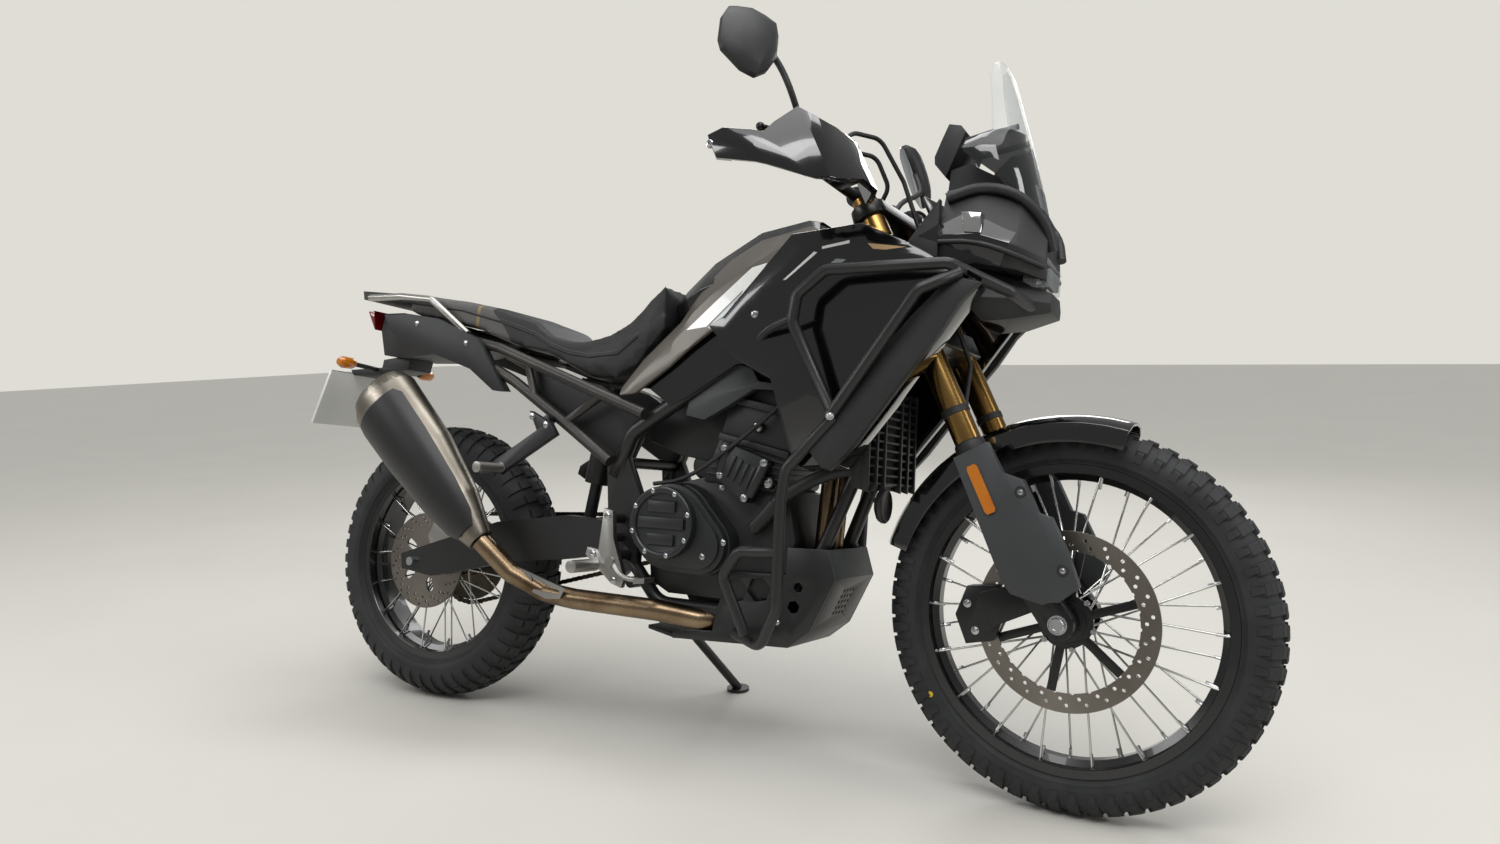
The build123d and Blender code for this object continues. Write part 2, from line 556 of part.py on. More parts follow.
with BuildPart() as engine_covers:
    for side, first, second, near, far in COVERS:
        cover(side, first, second, near, far, 4)
    rod((724, -160, 470), (724, -186, 470), 72)
    rod((800, 160, 450), (800, 186, 450), 64)
    for sign in (-1, 1):
        near, far = sorted((sign * CYLINDER_HALF, sign * (CYLINDER_HALF + 22)), reverse=True)
        slab([(842, 590), (945, 590), (968, 650), (868, 668)], near, far)
    add(engine.part, mode=Mode.SUBTRACT)

with BuildPart() as radiator:
    slab([(1112, 770), (1148, 762), (1150, 560), (1114, 566)], 140, -140)
    add(main_frame.part, mode=Mode.SUBTRACT)

with BuildPart() as skid_plate:
    slab([(1060, 440), (1078, 384), (1030, 280), (985, 243), (722, 232), (660, 244), (660, 252), (722, 240),
          (982, 251), (1022, 284), (1069, 384), (1052, 438)], 104, -104)
    for left, right in ((108, 103), (-103, -108)):
        slab([(1060, 440), (1078, 384), (1030, 280), (985, 243), (722, 232), (722, 246), (815, 256),
              (860, 330), (905, 430), (985, 438)], left, right)
    for tool in (engine, main_frame):
        add(tool.part, mode=Mode.SUBTRACT)

with BuildPart() as exhaust_pipe:
    for y in (-32, 32):
        tube([(985, y, 660), (1030, y, 640), (1018, y, 480), (1010, y, 320), (950, y, 272),
              (840, -36, 272)], 17, 24)
    tube([(850, -36, 272), (780, -100, 276), (700, -142, 290), (500, -148, 292), (420, -150, 299),
          (340, -172, 336), (270, -196, 400)], 22, 40)
    add(engine.part, mode=Mode.SUBTRACT)
    add(main_frame.part, mode=Mode.SUBTRACT)

CAN = [(270, -196, 400), (141, -205, 528), (-52, -215, 724)]
with BuildPart() as silencer:
    axis = Vector(*CAN[2]) - Vector(*CAN[0])
    stations = ((0.0, 30, 26), (0.22, 62, 46), (0.55, 84, 60), (0.93, 88, 64), (1.0, 74, 52))
    faces = []
    for share, tall, wide in stations:
        plane = Plane(origin=Vector(*CAN[0]) + axis * share, x_dir=(0, 1, 0), z_dir=axis)
        with BuildSketch(plane) as face:
            Ellipse(wide, tall)
        faces.append(face.sketch)
    loft(faces, ruled=True)
    add(exhaust_pipe.part, mode=Mode.SUBTRACT)

# ---- Bodywork ----
with BuildPart() as fuel_tank:
    block([(668, 880, 985, 86, 58, 14), (740, 872, 1046, 120, 78, 26), (850, 862, 1102, 150, 92, 34),
           (960, 860, 1108, 160, 96, 34), (1040, 900, 1096, 150, 88, 26)])
    slab([(860, 866), (1044, 904), (1044, 838), (870, 835)], 84, -84)
    for tool in (main_frame, fork_room):
        add(tool.part, mode=Mode.SUBTRACT)

SEAT_TOP = [(-98, 984), (81, 959), (202, 936), (305, 902), (360, 866), (414, 854), (452, 853), (516, 868),
            (577, 905), (616, 945), (655, 982)]
with BuildPart() as seat:
    slab([(-98, 984), (81, 959), (202, 936), (305, 902), (352, 868), (352, 826), (246, 850), (127, 892),
          (-90, 934)], 112, -112)
    slab([(352, 868), (414, 854), (452, 853), (516, 868), (577, 905), (616, 945), (655, 982), (664, 884),
          (600, 800), (548, 770), (479, 772), (352, 826)], 118, -118)
    fillet(seat.edges().filter_by(Axis.Y, reverse=True).group_by(Axis.Z)[-1], 6)
    add(fuel_tank.part, mode=Mode.SUBTRACT)
    add(subframe.part, mode=Mode.SUBTRACT)

with BuildPart() as side_panels:
    for sign in (-1, 1):
        near, far = sorted((sign * 104, sign * 88), reverse=True)
        slab([(302, 797), (500, 757), (631, 683), (592, 600), (540, 604), (400, 690), (320, 740)], near, far)
    add(subframe.part, mode=Mode.SUBTRACT)
    add(main_frame.part, mode=Mode.SUBTRACT)
    add(seat.part, mode=Mode.SUBTRACT)

with BuildPart() as tank_panels:
    for sign in (-1, 1):
        near, far = sorted((sign * 172, sign * 118), reverse=True)
        slab([(582, 762), (690, 868), (734, 905), (753, 961), (880, 1039), (985, 1059), (990, 1047),
              (847, 887), (813, 868), (633, 733)], near, far)
    for tool in (fuel_tank, seat, subframe, main_frame):
        add(tool.part, mode=Mode.SUBTRACT)

with BuildPart() as side_fairings:
    for sign in (-1, 1):
        near, far = sorted((sign * 224, sign * 150), reverse=True)
        slab([(847, 887), (990, 1047), (1137, 1060), (1231, 1015), (1363, 940), (1230, 752), (1111, 597),
              (1033, 590), (1010, 620), (960, 760), (880, 800), (813, 868)], near, far)
    for tool in (fuel_tank, tank_panels, main_frame, radiator, fork_room):
        add(tool.part, mode=Mode.SUBTRACT)

with BuildPart() as nose_fairing:
    block([(1262, 960, 1130, 150, 120, 20), (1330, 945, 1150, 150, 110, 20), (1400, 930, 1120, 120, 90, 20),
           (1440, 936, 1070, 76, 60, 16)])
    slab([(1190, 1010), (1262, 960), (1262, 1100)], 150, 132)
    slab([(1190, 1010), (1262, 960), (1262, 1100)], -132, -150)
    for tool in (side_fairings, fork_room):
        add(tool.part, mode=Mode.SUBTRACT)

with BuildPart() as beak:
    block([(1290, 880, 940, 96, 96, 12), (1400, 886, 932, 84, 84, 16), (1452, 905, 926, 46, 46, 8)])
    for tool in (nose_fairing, side_fairings, fork_room):
        add(tool.part, mode=Mode.SUBTRACT)

with BuildPart() as headlamp:
    slab([(1400, 1014), (1436, 1004), (1446, 950), (1400, 944)], 70, -70)
    add(nose_fairing.part, mode=Mode.SUBTRACT)

with BuildPart() as windscreen:
    slab([(1436, 1086), (1418, 1150), (1388, 1290), (1340, 1405), (1334, 1401), (1382, 1288), (1412, 1148),
          (1430, 1084)], 110, -110)
    add(nose_fairing.part, mode=Mode.SUBTRACT)

with BuildPart() as display:
    slab([(1262, 1296), (1292, 1288), (1300, 1180), (1270, 1180)], 46, -46)
    slab([(1290, 1250), (1372, 1262), (1372, 1240), (1290, 1220)], 12, -12)
    slab([(1274, 1184), (1298, 1184), (1304, 1124), (1280, 1124)], 30, -30)
    for tool in (windscreen, nose_fairing):
        add(tool.part, mode=Mode.SUBTRACT)

with BuildPart() as tail_fairing:
    for sign in (-1, 1):
        near, far = sorted((sign * 138, sign * 110), reverse=True)
        slab([(-142, 924), (-59, 925), (38, 911), (108, 881), (160, 862), (253, 739), (220, 740), (146, 790),
              (-64, 855), (-114, 880)], near, far)
    slab([(-262, 946), (-230, 952), (-96, 934), (100, 886), (60, 850), (-60, 830), (-240, 806)], 112, -112)
    for tool in (subframe, seat, silencer):
        add(tool.part, mode=Mode.SUBTRACT)

RACK_BACK, RACK_FRONT = Vector(-267, 0, 996), Vector(-104, 0, 982)
RACK_MIDDLE = (RACK_BACK + RACK_FRONT) / 2
RACK_NORMAL = (RACK_FRONT - RACK_BACK).cross(Vector(0, 1, 0)).normalized()
with BuildPart() as rear_rack:
    slab([(RACK_BACK.X, RACK_BACK.Z), (RACK_FRONT.X, RACK_FRONT.Z), (-104, 962), (-262, 974)], 96, -96)
    for sign in (-1, 1):
        tube([(-230, sign * 104, 976), (-102, sign * 124, 971), (0, sign * 126, 960), (114, sign * 118, 876)],
             9, 20)
    for tool in (subframe, seat, tail_fairing):
        add(tool.part, mode=Mode.SUBTRACT)

with BuildPart() as tail_lamp:
    slab([(-283, 950), (-262, 952), (-248, 905), (-256, 902)], 60, -60)
    add(tail_fairing.part, mode=Mode.SUBTRACT)

PLATE_W, PLATE_H = 220, 140
with BuildPart() as plate_holder:
    slab([(-240, 806), (-236, 826), (-140, 838), (-150, 800), (-260, 786), (-345, 786), (-352, 800)], 40, -40)
    slab([(-352, 800), (-344, 798), (-404, 668), (-412, 671)], PLATE_W / 2, -PLATE_W / 2)
    for sign in (-1, 1):
        rod((-260, sign * 30, 800), (-262, sign * 120, 806), 7)
        rod((-262, sign * 110, 806), (-262, sign * 160, 808), 15)
    add(tail_fairing.part, mode=Mode.SUBTRACT)

# ---- Bars, pegs and stand ----
with BuildPart() as crash_bars:
    for sign in (-1, 1):
        tube([(p, sign * q, r) for p, q, r in ((1106, 226, 690), (1029, 262, 860), (1036, 262, 912),
              (1090, 262, 955), (1310, 240, 962), (1400, 150, 925), (1420, 60, 912))], CRASH_R, 24)
        tube([(p, sign * q, r) for p, q, r in ((1100, 232, 690), (1262, 252, 915), (1330, 226, 948))],
             CRASH_R, 30)
    for tool in (side_fairings, beak, nose_fairing):
        add(tool.part, mode=Mode.SUBTRACT)

with BuildPart() as engine_guards:
    for sign in (-1, 1):
        tube([(p, sign * q, r) for p, q, r in ((1106, 226, 690), (1015, 226, 590), (1006, 222, 530),
              (1006, 214, 330), (960, 180, 250), (880, 130, 262))], CRASH_R, 40)
        tube([(p, sign * q, r) for p, q, r in ((1004, 216, 434), (920, 214, 430), (884, 206, 380),
              (930, 186, 270))], CRASH_R, 26)
    for tool in (crash_bars, skid_plate, engine, main_frame, side_fairings):
        add(tool.part, mode=Mode.SUBTRACT)

with BuildPart() as foot_pegs:
    for sign in (-1, 1):
        near, far = sorted((sign * 178, sign * 164), reverse=True)
        slab([(580, 492), (602, 486), (608, 430), (640, 350), (634, 330), (608, 338), (540, 392), (544, 408),
              (572, 404)], near, far)
        rod((590, sign * 122, 470), (590, sign * 164, 470), 10)
        rod((610, sign * 122, 395), (610, sign * 164, 395), 10)
        rod((566, sign * 178, 372), (566, sign * 262, 372), 13)
        slab([(357, 693), (414, 668), (433, 642), (300, 560), (284, 548), (262, 560), (268, 580), (380, 650)],
             *sorted((sign * 168, sign * 152), reverse=True))
        rod((286, sign * 168, 562), (286, sign * 246, 562), 12)
        rod((395, sign * 130, 676), (395, sign * 156, 676), 9)
    for tool in (main_frame, subframe, swingarm):
        add(tool.part, mode=Mode.SUBTRACT)

with BuildPart() as side_stand:
    rod(STAND_PIVOT - STAND_AXIS * STAND_KNUCKLE, STAND_PIVOT + STAND_AXIS * STAND_KNUCKLE, 20)
    rod(STAND_PIVOT, STAND_FOOT, STAND_LEG_R)
    below = FLOOR.to_local_coords(STAND_FOOT)
    rod(FLOOR.from_local_coords(Vector(below.X, below.Y, 0)),
        FLOOR.from_local_coords(Vector(below.X, below.Y, 7)), 27)
    rod(STAND_PIVOT - STAND_AXIS * 30, STAND_PIVOT + STAND_AXIS * 30, STAND_PIN_R + GAP, mode=Mode.SUBTRACT)

PIECES = {
    "main_frame": main_frame, "subframe": subframe, "swingarm": swingarm, "rear_axle": rear_axle,
    "rear_caliper": rear_caliper, "rear_shock": rear_shock, "chain": chain, "engine": engine,
    "engine_covers": engine_covers, "radiator": radiator, "skid_plate": skid_plate,
    "exhaust_pipe": exhaust_pipe, "silencer": silencer, "fuel_tank": fuel_tank, "seat": seat,
    "side_panels": side_panels, "tank_panels": tank_panels, "side_fairings": side_fairings,
    "nose_fairing": nose_fairing, "beak": beak, "headlamp": headlamp, "windscreen": windscreen,
    "display": display, "tail_fairing": tail_fairing, "rear_rack": rear_rack, "tail_lamp": tail_lamp,
    "plate_holder": plate_holder, "crash_bars": crash_bars, "engine_guards": engine_guards,
    "foot_pegs": foot_pegs, "side_stand": side_stand,
    "rear_tyre": rear_tyre, "rear_rim": rear_rim, "rear_hub": rear_hub, "rear_disc": rear_disc,
    "rear_sprocket": rear_sprocket,
}
STEERED = {
    "triple_clamps": triple_clamps, "fork_tubes": fork_tubes, "fork_legs": fork_legs,
    "fork_guards": fork_guards, "front_axle": front_axle, "front_fender": front_fender,
    "front_caliper": front_caliper, "handlebar": handlebar, "grips": grips, "handguards": handguards,
    "hand_controls": hand_controls, "mirrors": mirrors, "control_cables": control_cables,
    "front_tyre": front_tyre, "front_rim": front_rim, "front_hub": front_hub, "front_disc": front_disc,
    "disc_carrier": disc_carrier,
}


boxes = [piece.part.moved(leaning).bounding_box() for piece in PIECES.values()]
boxes += [piece.part.moved(leaning * steering).bounding_box() for piece in STEERED.values()]
middle_x = (min(b.min.X for b in boxes) + max(b.max.X for b in boxes)) / 2
middle_y = (min(b.min.Y for b in boxes) + max(b.max.Y for b in boxes)) / 2
parked = Location((-middle_x, -middle_y, -rear_low)) * leaning

for label, piece in (PIECES | STEERED).items():
    placed = piece.part.moved(parked * steering if label in STEERED else parked)
    placed.label = label
    export_step(placed, f"parts/{label}.step")

# ---- Where the joints are, in the parked frame ----
AXES = (
    ("steering", FORK.origin, FORK.z_dir, parked),
    ("front_wheel", Vector(*FRONT_AXLE), Vector(0, 1, 0), parked * steering),
    ("rear_wheel", Vector(*REAR_AXLE), Vector(0, 1, 0), parked),
    ("stand", STAND_PIVOT, STAND_AXIS, parked),
    ("rack_top", RACK_MIDDLE, RACK_NORMAL, parked),
)
for label, point, axis, place in AXES:
    at = (place * Location(point)).position
    along = (place * Location(point + axis)).position - at
    print(label, [round(v, 5) for v in at], [round(v, 7) for v in along])
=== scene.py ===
import json
from math import atan2, cos, pi, radians, sin, sqrt

import bmesh
import bpy
from mathutils import Matrix, Vector
from mathutils.bvhtree import BVHTree


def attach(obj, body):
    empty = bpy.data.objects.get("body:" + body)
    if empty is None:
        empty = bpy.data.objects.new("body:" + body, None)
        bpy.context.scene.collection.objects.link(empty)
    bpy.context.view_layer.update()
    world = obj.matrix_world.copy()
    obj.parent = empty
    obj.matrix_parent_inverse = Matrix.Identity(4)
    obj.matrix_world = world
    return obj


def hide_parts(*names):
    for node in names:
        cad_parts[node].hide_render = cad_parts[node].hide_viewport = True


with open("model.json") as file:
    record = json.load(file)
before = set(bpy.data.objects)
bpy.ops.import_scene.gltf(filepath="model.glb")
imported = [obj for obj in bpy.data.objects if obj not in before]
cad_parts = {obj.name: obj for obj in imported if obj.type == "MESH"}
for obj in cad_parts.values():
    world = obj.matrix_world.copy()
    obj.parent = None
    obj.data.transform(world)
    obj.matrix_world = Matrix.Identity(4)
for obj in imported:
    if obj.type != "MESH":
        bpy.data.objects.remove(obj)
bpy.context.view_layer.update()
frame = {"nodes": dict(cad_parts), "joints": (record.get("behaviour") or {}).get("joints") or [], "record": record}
NODES = frame["nodes"]

# ---- The machine's own frame: mm, x forward from the rear axle, y left, z up, standing upright ----
MM = 0.001
LEAN = radians(-9.8)
PITCH = radians(-0.01405)
RAKE = radians(26)
STEER_AT_REST = radians(-3.3)
REAR_AXLE = Vector(next(j["pos_m"] for j in frame["joints"] if j["name"] == "rear_wheel_spin"))
REAR_MM = Vector((0, 0, 330))
FRONT_MM = Vector((1505, 0, 350))
HEAD_FOOT = Vector((1610, 0, 0))
PARKED = (
    Matrix.Translation(REAR_AXLE) @ Matrix.Rotation(LEAN, 4, "X") @ Matrix.Rotation(PITCH, 4, "Y")
    @ Matrix.Scale(MM, 4) @ Matrix.Translation(-REAR_MM)
)
HEAD_AXIS = Vector((-sin(RAKE), 0, cos(RAKE)))
STEERED = (
    PARKED @ Matrix.Translation(HEAD_FOOT) @ Matrix.Rotation(STEER_AT_REST, 4, HEAD_AXIS)
    @ Matrix.Translation(-HEAD_FOOT)
)
# ahead of, beside and along the steering axis
FORK = STEERED @ Matrix.Translation(HEAD_FOOT) @ Matrix(
    ((cos(RAKE), 0, -sin(RAKE), 0), (0, 1, 0, 0), (sin(RAKE), 0, cos(RAKE), 0), (0, 0, 0, 1))
)
FRONT_WHEEL = STEERED @ Matrix.Translation(FRONT_MM)
REAR_WHEEL = PARKED @ Matrix.Translation(REAR_MM)


def linked(data, name="holder"):
    """An object with this data, in the scene."""
    thing = bpy.data.objects.new(name, data)
    bpy.context.scene.collection.objects.link(thing)
    return thing


# ---- Camera, floor and light ----
CAMERA_LENS, CAMERA_SENSOR = 24.453, 36
CAMERA_FROM_AXLE = Vector((1.8164, -1.8803, 0.5559))
CAMERA_RIGHT = Vector((0.89026, 0.455, -0.02016))
CAMERA_UP = Vector((-0.02348, 0.09006, 0.99566))
camera_data = bpy.data.cameras.new("camera")
camera_data.lens, camera_data.sensor_width = CAMERA_LENS, CAMERA_SENSOR
camera = linked(camera_data, "camera")
facing = Matrix((CAMERA_RIGHT, CAMERA_UP, CAMERA_RIGHT.cross(CAMERA_UP))).transposed().to_4x4()
camera.matrix_world = Matrix.Translation(REAR_AXLE + CAMERA_FROM_AXLE) @ facing
bpy.context.scene.camera = camera
bpy.context.scene.view_settings.view_transform = "Standard"


def linear(code, alpha=1.0):
    """An sRGB hex colour as linear light."""
    parts = [int(code[n:n + 2], 16) / 255 for n in (0, 2, 4)]
    return tuple(p / 12.92 if p <= 0.04045 else ((p + 0.055) / 1.055) ** 2.4 for p in parts) + (alpha,)


def add_node(tree, kind, settings=None, links=None):
    """A node with its settings, and its inputs linked from (node, output name)."""
    made = tree.nodes.new(kind)
    for key, value in (settings or {}).items():
        if key == "stops":
            ramp = made.color_ramp
            while len(ramp.elements) < len(value):
                ramp.elements.new(0.5)
            for element, (place, colour) in zip(ramp.elements, value):
                element.position, element.color = place, colour
        elif hasattr(made, key):
            setattr(made, key, value)
        else:
            made.inputs[key].default_value = value
    for key, (source, output) in (links or {}).items():
        tree.links.new(source.outputs[output], made.inputs[key])
    return made


# The middle part of the noises that the colours and the roughness run over, and how strongly relief shows
DRIFT_SPAN, GRAIN_SPAN, RELIEF_STRENGTH = (0.35, 0.65), (0.25, 0.75), 0.8
DRIFT_DETAIL, GRAIN_DETAIL = 4.0, 3.0
PER_METRE = 1000


def surface(name, dark, light, rough, metallic=0.0, grain=1.5, bump=0.0, patch=160, stretch=None,
        cells=False, **sockets):
    """A finish. Colours drift over patch mm, roughness and relief over grain mm, bump is the relief in mm."""
    material = bpy.data.materials.new(name)
    material.use_nodes = True
    tree = material.node_tree
    shader = tree.nodes["Principled BSDF"]
    shader.inputs["Metallic"].default_value = metallic
    for socket, value in sockets.items():
        shader.inputs[socket.replace("_", " ")].default_value = value
    place = add_node(tree, "ShaderNodeTexCoord")
    drift = add_node(tree, "ShaderNodeTexNoise", {"Scale": PER_METRE / patch, "Detail": DRIFT_DETAIL},
        {"Vector": (place, "Object")})
    stops = tuple(zip(DRIFT_SPAN, (linear(dark), linear(light))))
    colour = add_node(tree, "ShaderNodeValToRGB", {"stops": stops}, {"Fac": (drift, "Fac")})
    tree.links.new(colour.outputs["Color"], shader.inputs["Base Color"])
    source = (place, "Object")
    if stretch:
        source = (add_node(tree, "ShaderNodeMapping", {"Scale": stretch}, {"Vector": source}), "Vector")
    if cells:
        fine = add_node(tree, "ShaderNodeTexVoronoi", {"Scale": PER_METRE / grain}, {"Vector": source})
        height = (fine, "Distance")
    else:
        fine = add_node(tree, "ShaderNodeTexNoise", {"Scale": PER_METRE / grain, "Detail": GRAIN_DETAIL},
            {"Vector": source})
        height = (fine, "Fac")
    spans = dict(zip(("From Min", "From Max", "To Min", "To Max"), GRAIN_SPAN + rough))
    level = add_node(tree, "ShaderNodeMapRange", spans, {"Value": height})
    tree.links.new(level.outputs["Result"], shader.inputs["Roughness"])
    if bump:
        relief = add_node(tree, "ShaderNodeBump", {"Distance": bump * MM, "Strength": RELIEF_STRENGTH},
            {"Height": height})
        tree.links.new(relief.outputs["Normal"], shader.inputs["Normal"])
    return material


# Powder coated steel tube: satin black with a fine orange peel that breaks up its highlights
TUBE_BLACK = surface("powder_coated_steel", "151516", "1b1b1c", (0.34, 0.46), grain=1.2, bump=0.05)
# Powder coated steel rail in gunmetal: a warm grey fleck in a satin coat
RAIL_GREY = surface("gunmetal_powder_coat", "3b3937", "474441", (0.36, 0.46), metallic=0.55, grain=1.0,
    bump=0.04)
# Die cast aluminium, painted: matt black over a sand-like cast skin
CAST_BLACK = surface("painted_cast_aluminium", "0f1011", "17181a", (0.42, 0.56), grain=1.6, bump=0.12)
# Die cast cover with a satin paint: smoother and a little paler than the case behind it
COVER_BLACK = surface("satin_cast_cover", "17191a", "1f2122", (0.34, 0.44), grain=1.1, bump=0.06)
# Moulded ABS, spark textured: dull dark plastic with a pebbled grain
TEXTURED_ABS = surface("textured_abs", "161718", "1d1e1f", (0.46, 0.6), grain=1.3, bump=0.12, cells=True)
# Moulded nylon in dark grey: softer and paler than the ABS, with an even fine grain
GREY_NYLON = surface("grey_moulded_nylon", "2e3032", "36383a", (0.42, 0.54), grain=1.0, bump=0.07, cells=True)
# Lacquered ABS: deep black under a clear coat with mirror-like reflections
GLOSS_BLACK = surface("lacquered_abs", "050505", "08080a", (0.10, 0.16), grain=30, Coat_Weight=1.0,
    Coat_Roughness=0.04)
# Metallic lacquer in warm grey: aluminium flake under a clear coat
METALLIC_GREY = surface("metallic_grey_lacquer", "5b5650", "666159", (0.36, 0.5), metallic=0.4, grain=0.5,
    Coat_Weight=0.25, Coat_Roughness=0.12)
# Painted steel tank top: black lacquer with a soft gloss
TANK_BLACK = surface("black_tank_lacquer", "0d0d0e", "121213", (0.2, 0.3), grain=20, Coat_Weight=0.4)
# Brushed stainless sheet: long hairlines that pull the highlight into a band
BRUSHED_STEEL = surface("brushed_stainless", "6f6a61", "8b857b", (0.24, 0.42), metallic=1.0, grain=1.2,
    bump=0.02, stretch=(0.06, 1, 1))
# Heat tinted stainless pipe: straw and bronze oxide drifting along the bends
HEAT_TINTED = surface("heat_tinted_stainless", "5c4a38", "8f7c64", (0.24, 0.38), metallic=1.0, grain=2.5,
    patch=90)
# Gold anodised aluminium tube: polished lengthways, with a hard satin oxide
GOLD_ANODISED = surface("gold_anodised_aluminium", "86683a", "9c7c48", (0.16, 0.28), metallic=1.0, grain=0.8)
# Machined aluminium, clear anodised: bright silver with a fine bead-blasted grain
SILVER_ALUMINIUM = surface("clear_anodised_aluminium", "9c9a96", "b3b1ad", (0.3, 0.42), metallic=1.0,
    grain=0.8, bump=0.02)
# Zinc plated steel: small bright fasteners, slightly blue
ZINC = surface("zinc_plated_steel", "a9abab", "c6c8c9", (0.18, 0.3), metallic=1.0, grain=1.5)
# Ground stainless disc: faint circular grinding marks and a warm grey
DISC_STEEL = surface("ground_stainless_disc", "77716a", "8f8981", (0.26, 0.4), metallic=1.0, grain=0.9,
    bump=0.02)
# Stainless spoke wire: bright drawn steel
SPOKE_STEEL = surface("drawn_stainless_wire", "b4b4b2", "d0d0ce", (0.14, 0.22), metallic=1.0, grain=2.0)
# Roller chain steel: dark oiled links with rubbed edges
CHAIN_STEEL = surface("oiled_chain_steel", "3f3a33", "5c554a", (0.3, 0.5), metallic=1.0, grain=2.0)
# Painted fork leg and caliper: smooth satin black over aluminium
LEG_BLACK = surface("satin_black_aluminium", "131414", "191a1a", (0.26, 0.36), metallic=0.3, grain=1.0)
# Moulded tyre rubber: soft black with a dusty bloom
TYRE_RUBBER = surface("moulded_tyre_rubber", "17181a", "232426", (0.62, 0.78), grain=1.4, bump=0.1, patch=60)
# Grip and hose rubber: smoother and blacker than the tyre
SOFT_RUBBER = surface("extruded_rubber", "0d0d0e", "141415", (0.48, 0.6), grain=0.9, bump=0.05)
# Black powder coat on a wheel rim: smooth and glossier than the frame
RIM_BLACK = surface("gloss_powder_coated_rim", "0b0b0c", "101011", (0.2, 0.28), grain=1.5, Coat_Weight=0.5)
# Seat vinyl, embossed leather grain: matt black with fine cells
SEAT_BLACK = surface("embossed_seat_vinyl", "141415", "1c1c1e", (0.5, 0.64), grain=1.8, bump=0.14, cells=True)
# The same vinyl in charcoal, for the pillion's part: its cells show as a paler grain
SEAT_GREY = surface("charcoal_seat_vinyl", "4c4b4a", "585755", (0.5, 0.64), grain=1.8, bump=0.14, cells=True)
# Woven ribbon sewn into the seam: a dull gold with a fine weave
SEAT_GOLD = surface("gold_seat_ribbon", "7a6a44", "94825a", (0.4, 0.6), metallic=0.2, grain=0.7, bump=0.06)
# Polyester thread, waxed: a pale grey twist
THREAD = surface("waxed_polyester_thread", "4a4a4a", "5c5c5c", (0.5, 0.7), grain=0.5, bump=0.05)
# White vinyl film: flat white under a gloss laminate
WHITE_FILM = surface("white_vinyl_film", "e4e4e2", "eaeae8", (0.22, 0.3), grain=20, Coat_Weight=0.6)
# Silver vinyl film: pale metallic grey
SILVER_FILM = surface("silver_vinyl_film", "8d9196", "9da1a6", (0.28, 0.36), metallic=0.5, grain=0.6,
    Coat_Weight=0.5)
# Tan vinyl film: a flat warm accent under a gloss laminate
TAN_FILM = surface("tan_vinyl_film", "a88a63", "b89b74", (0.26, 0.34), grain=10, Coat_Weight=0.5)
# Plastic with evaporated aluminium: a mirror behind the lamp glass
REFLECTOR = surface("aluminised_reflector", "c8c8c8", "dedede", (0.06, 0.12), metallic=1.0, grain=8)
# Moulded amber acrylic: saturated orange that glows at its edges
AMBER = surface("amber_acrylic", "c06a08", "e08a14", (0.12, 0.2), grain=6, Coat_Weight=0.6,
    Transmission_Weight=0.2)
# Moulded red acrylic: a deep red that lets a little light in
RED_LENS = surface("red_acrylic", "6a0808", "8c1010", (0.12, 0.2), grain=6, Coat_Weight=0.6,
    Transmission_Weight=0.2)
# Silvered glass, ground flat: a clean mirror, slightly cool
MIRROR_GLASS = surface("silvered_glass", "b8bcc0", "c4c8cc", (0.02, 0.04), metallic=1.0, grain=60)
# Blank number plate: white enamel on pressed aluminium
PLATE_WHITE = surface("white_plate_enamel", "c9cac8", "d4d5d3", (0.3, 0.4), grain=12)
# Display glass: black with a bonded cover
DISPLAY_GLASS = surface("bonded_display_glass", "060708", "0a0b0d", (0.05, 0.09), grain=60, Coat_Weight=1.0)
# Yellow balance dot: a dab of paint on the tyre
DOT_YELLOW = surface("yellow_tyre_paint", "c9a61c", "d8b630", (0.4, 0.5), grain=2)
# Radiator fins, dip painted aluminium: dull black that swallows light between them
CORE_BLACK = surface("painted_radiator_core", "0e0f10", "151617", (0.4, 0.55), grain=1.2, bump=0.1)

POLYCARBONATE_IOR = 1.58


def glassy(name, tint, rough, alpha):
    """A thin clear sheet. alpha is how much of it the eye sees."""
    return surface(name, tint, tint, rough, grain=80, IOR=POLYCARBONATE_IOR, Alpha=alpha, Coat_Weight=0.5)


# Clear polycarbonate screen: a colourless sheet seen by its reflections
CLEAR_SHEET = glassy("clear_polycarbonate", "b9c0c2", (0.03, 0.05), 0.2)
# Smoked polycarbonate: the grey lower part of the screen
SMOKED_SHEET = glassy("smoked_polycarbonate", "1e2122", (0.04, 0.07), 0.82)
# Clear moulded lamp cover: as colourless as the screen, with a little more of itself seen
LAMP_COVER = glassy("clear_lamp_cover", "c4cbce", (0.03, 0.05), 0.28)

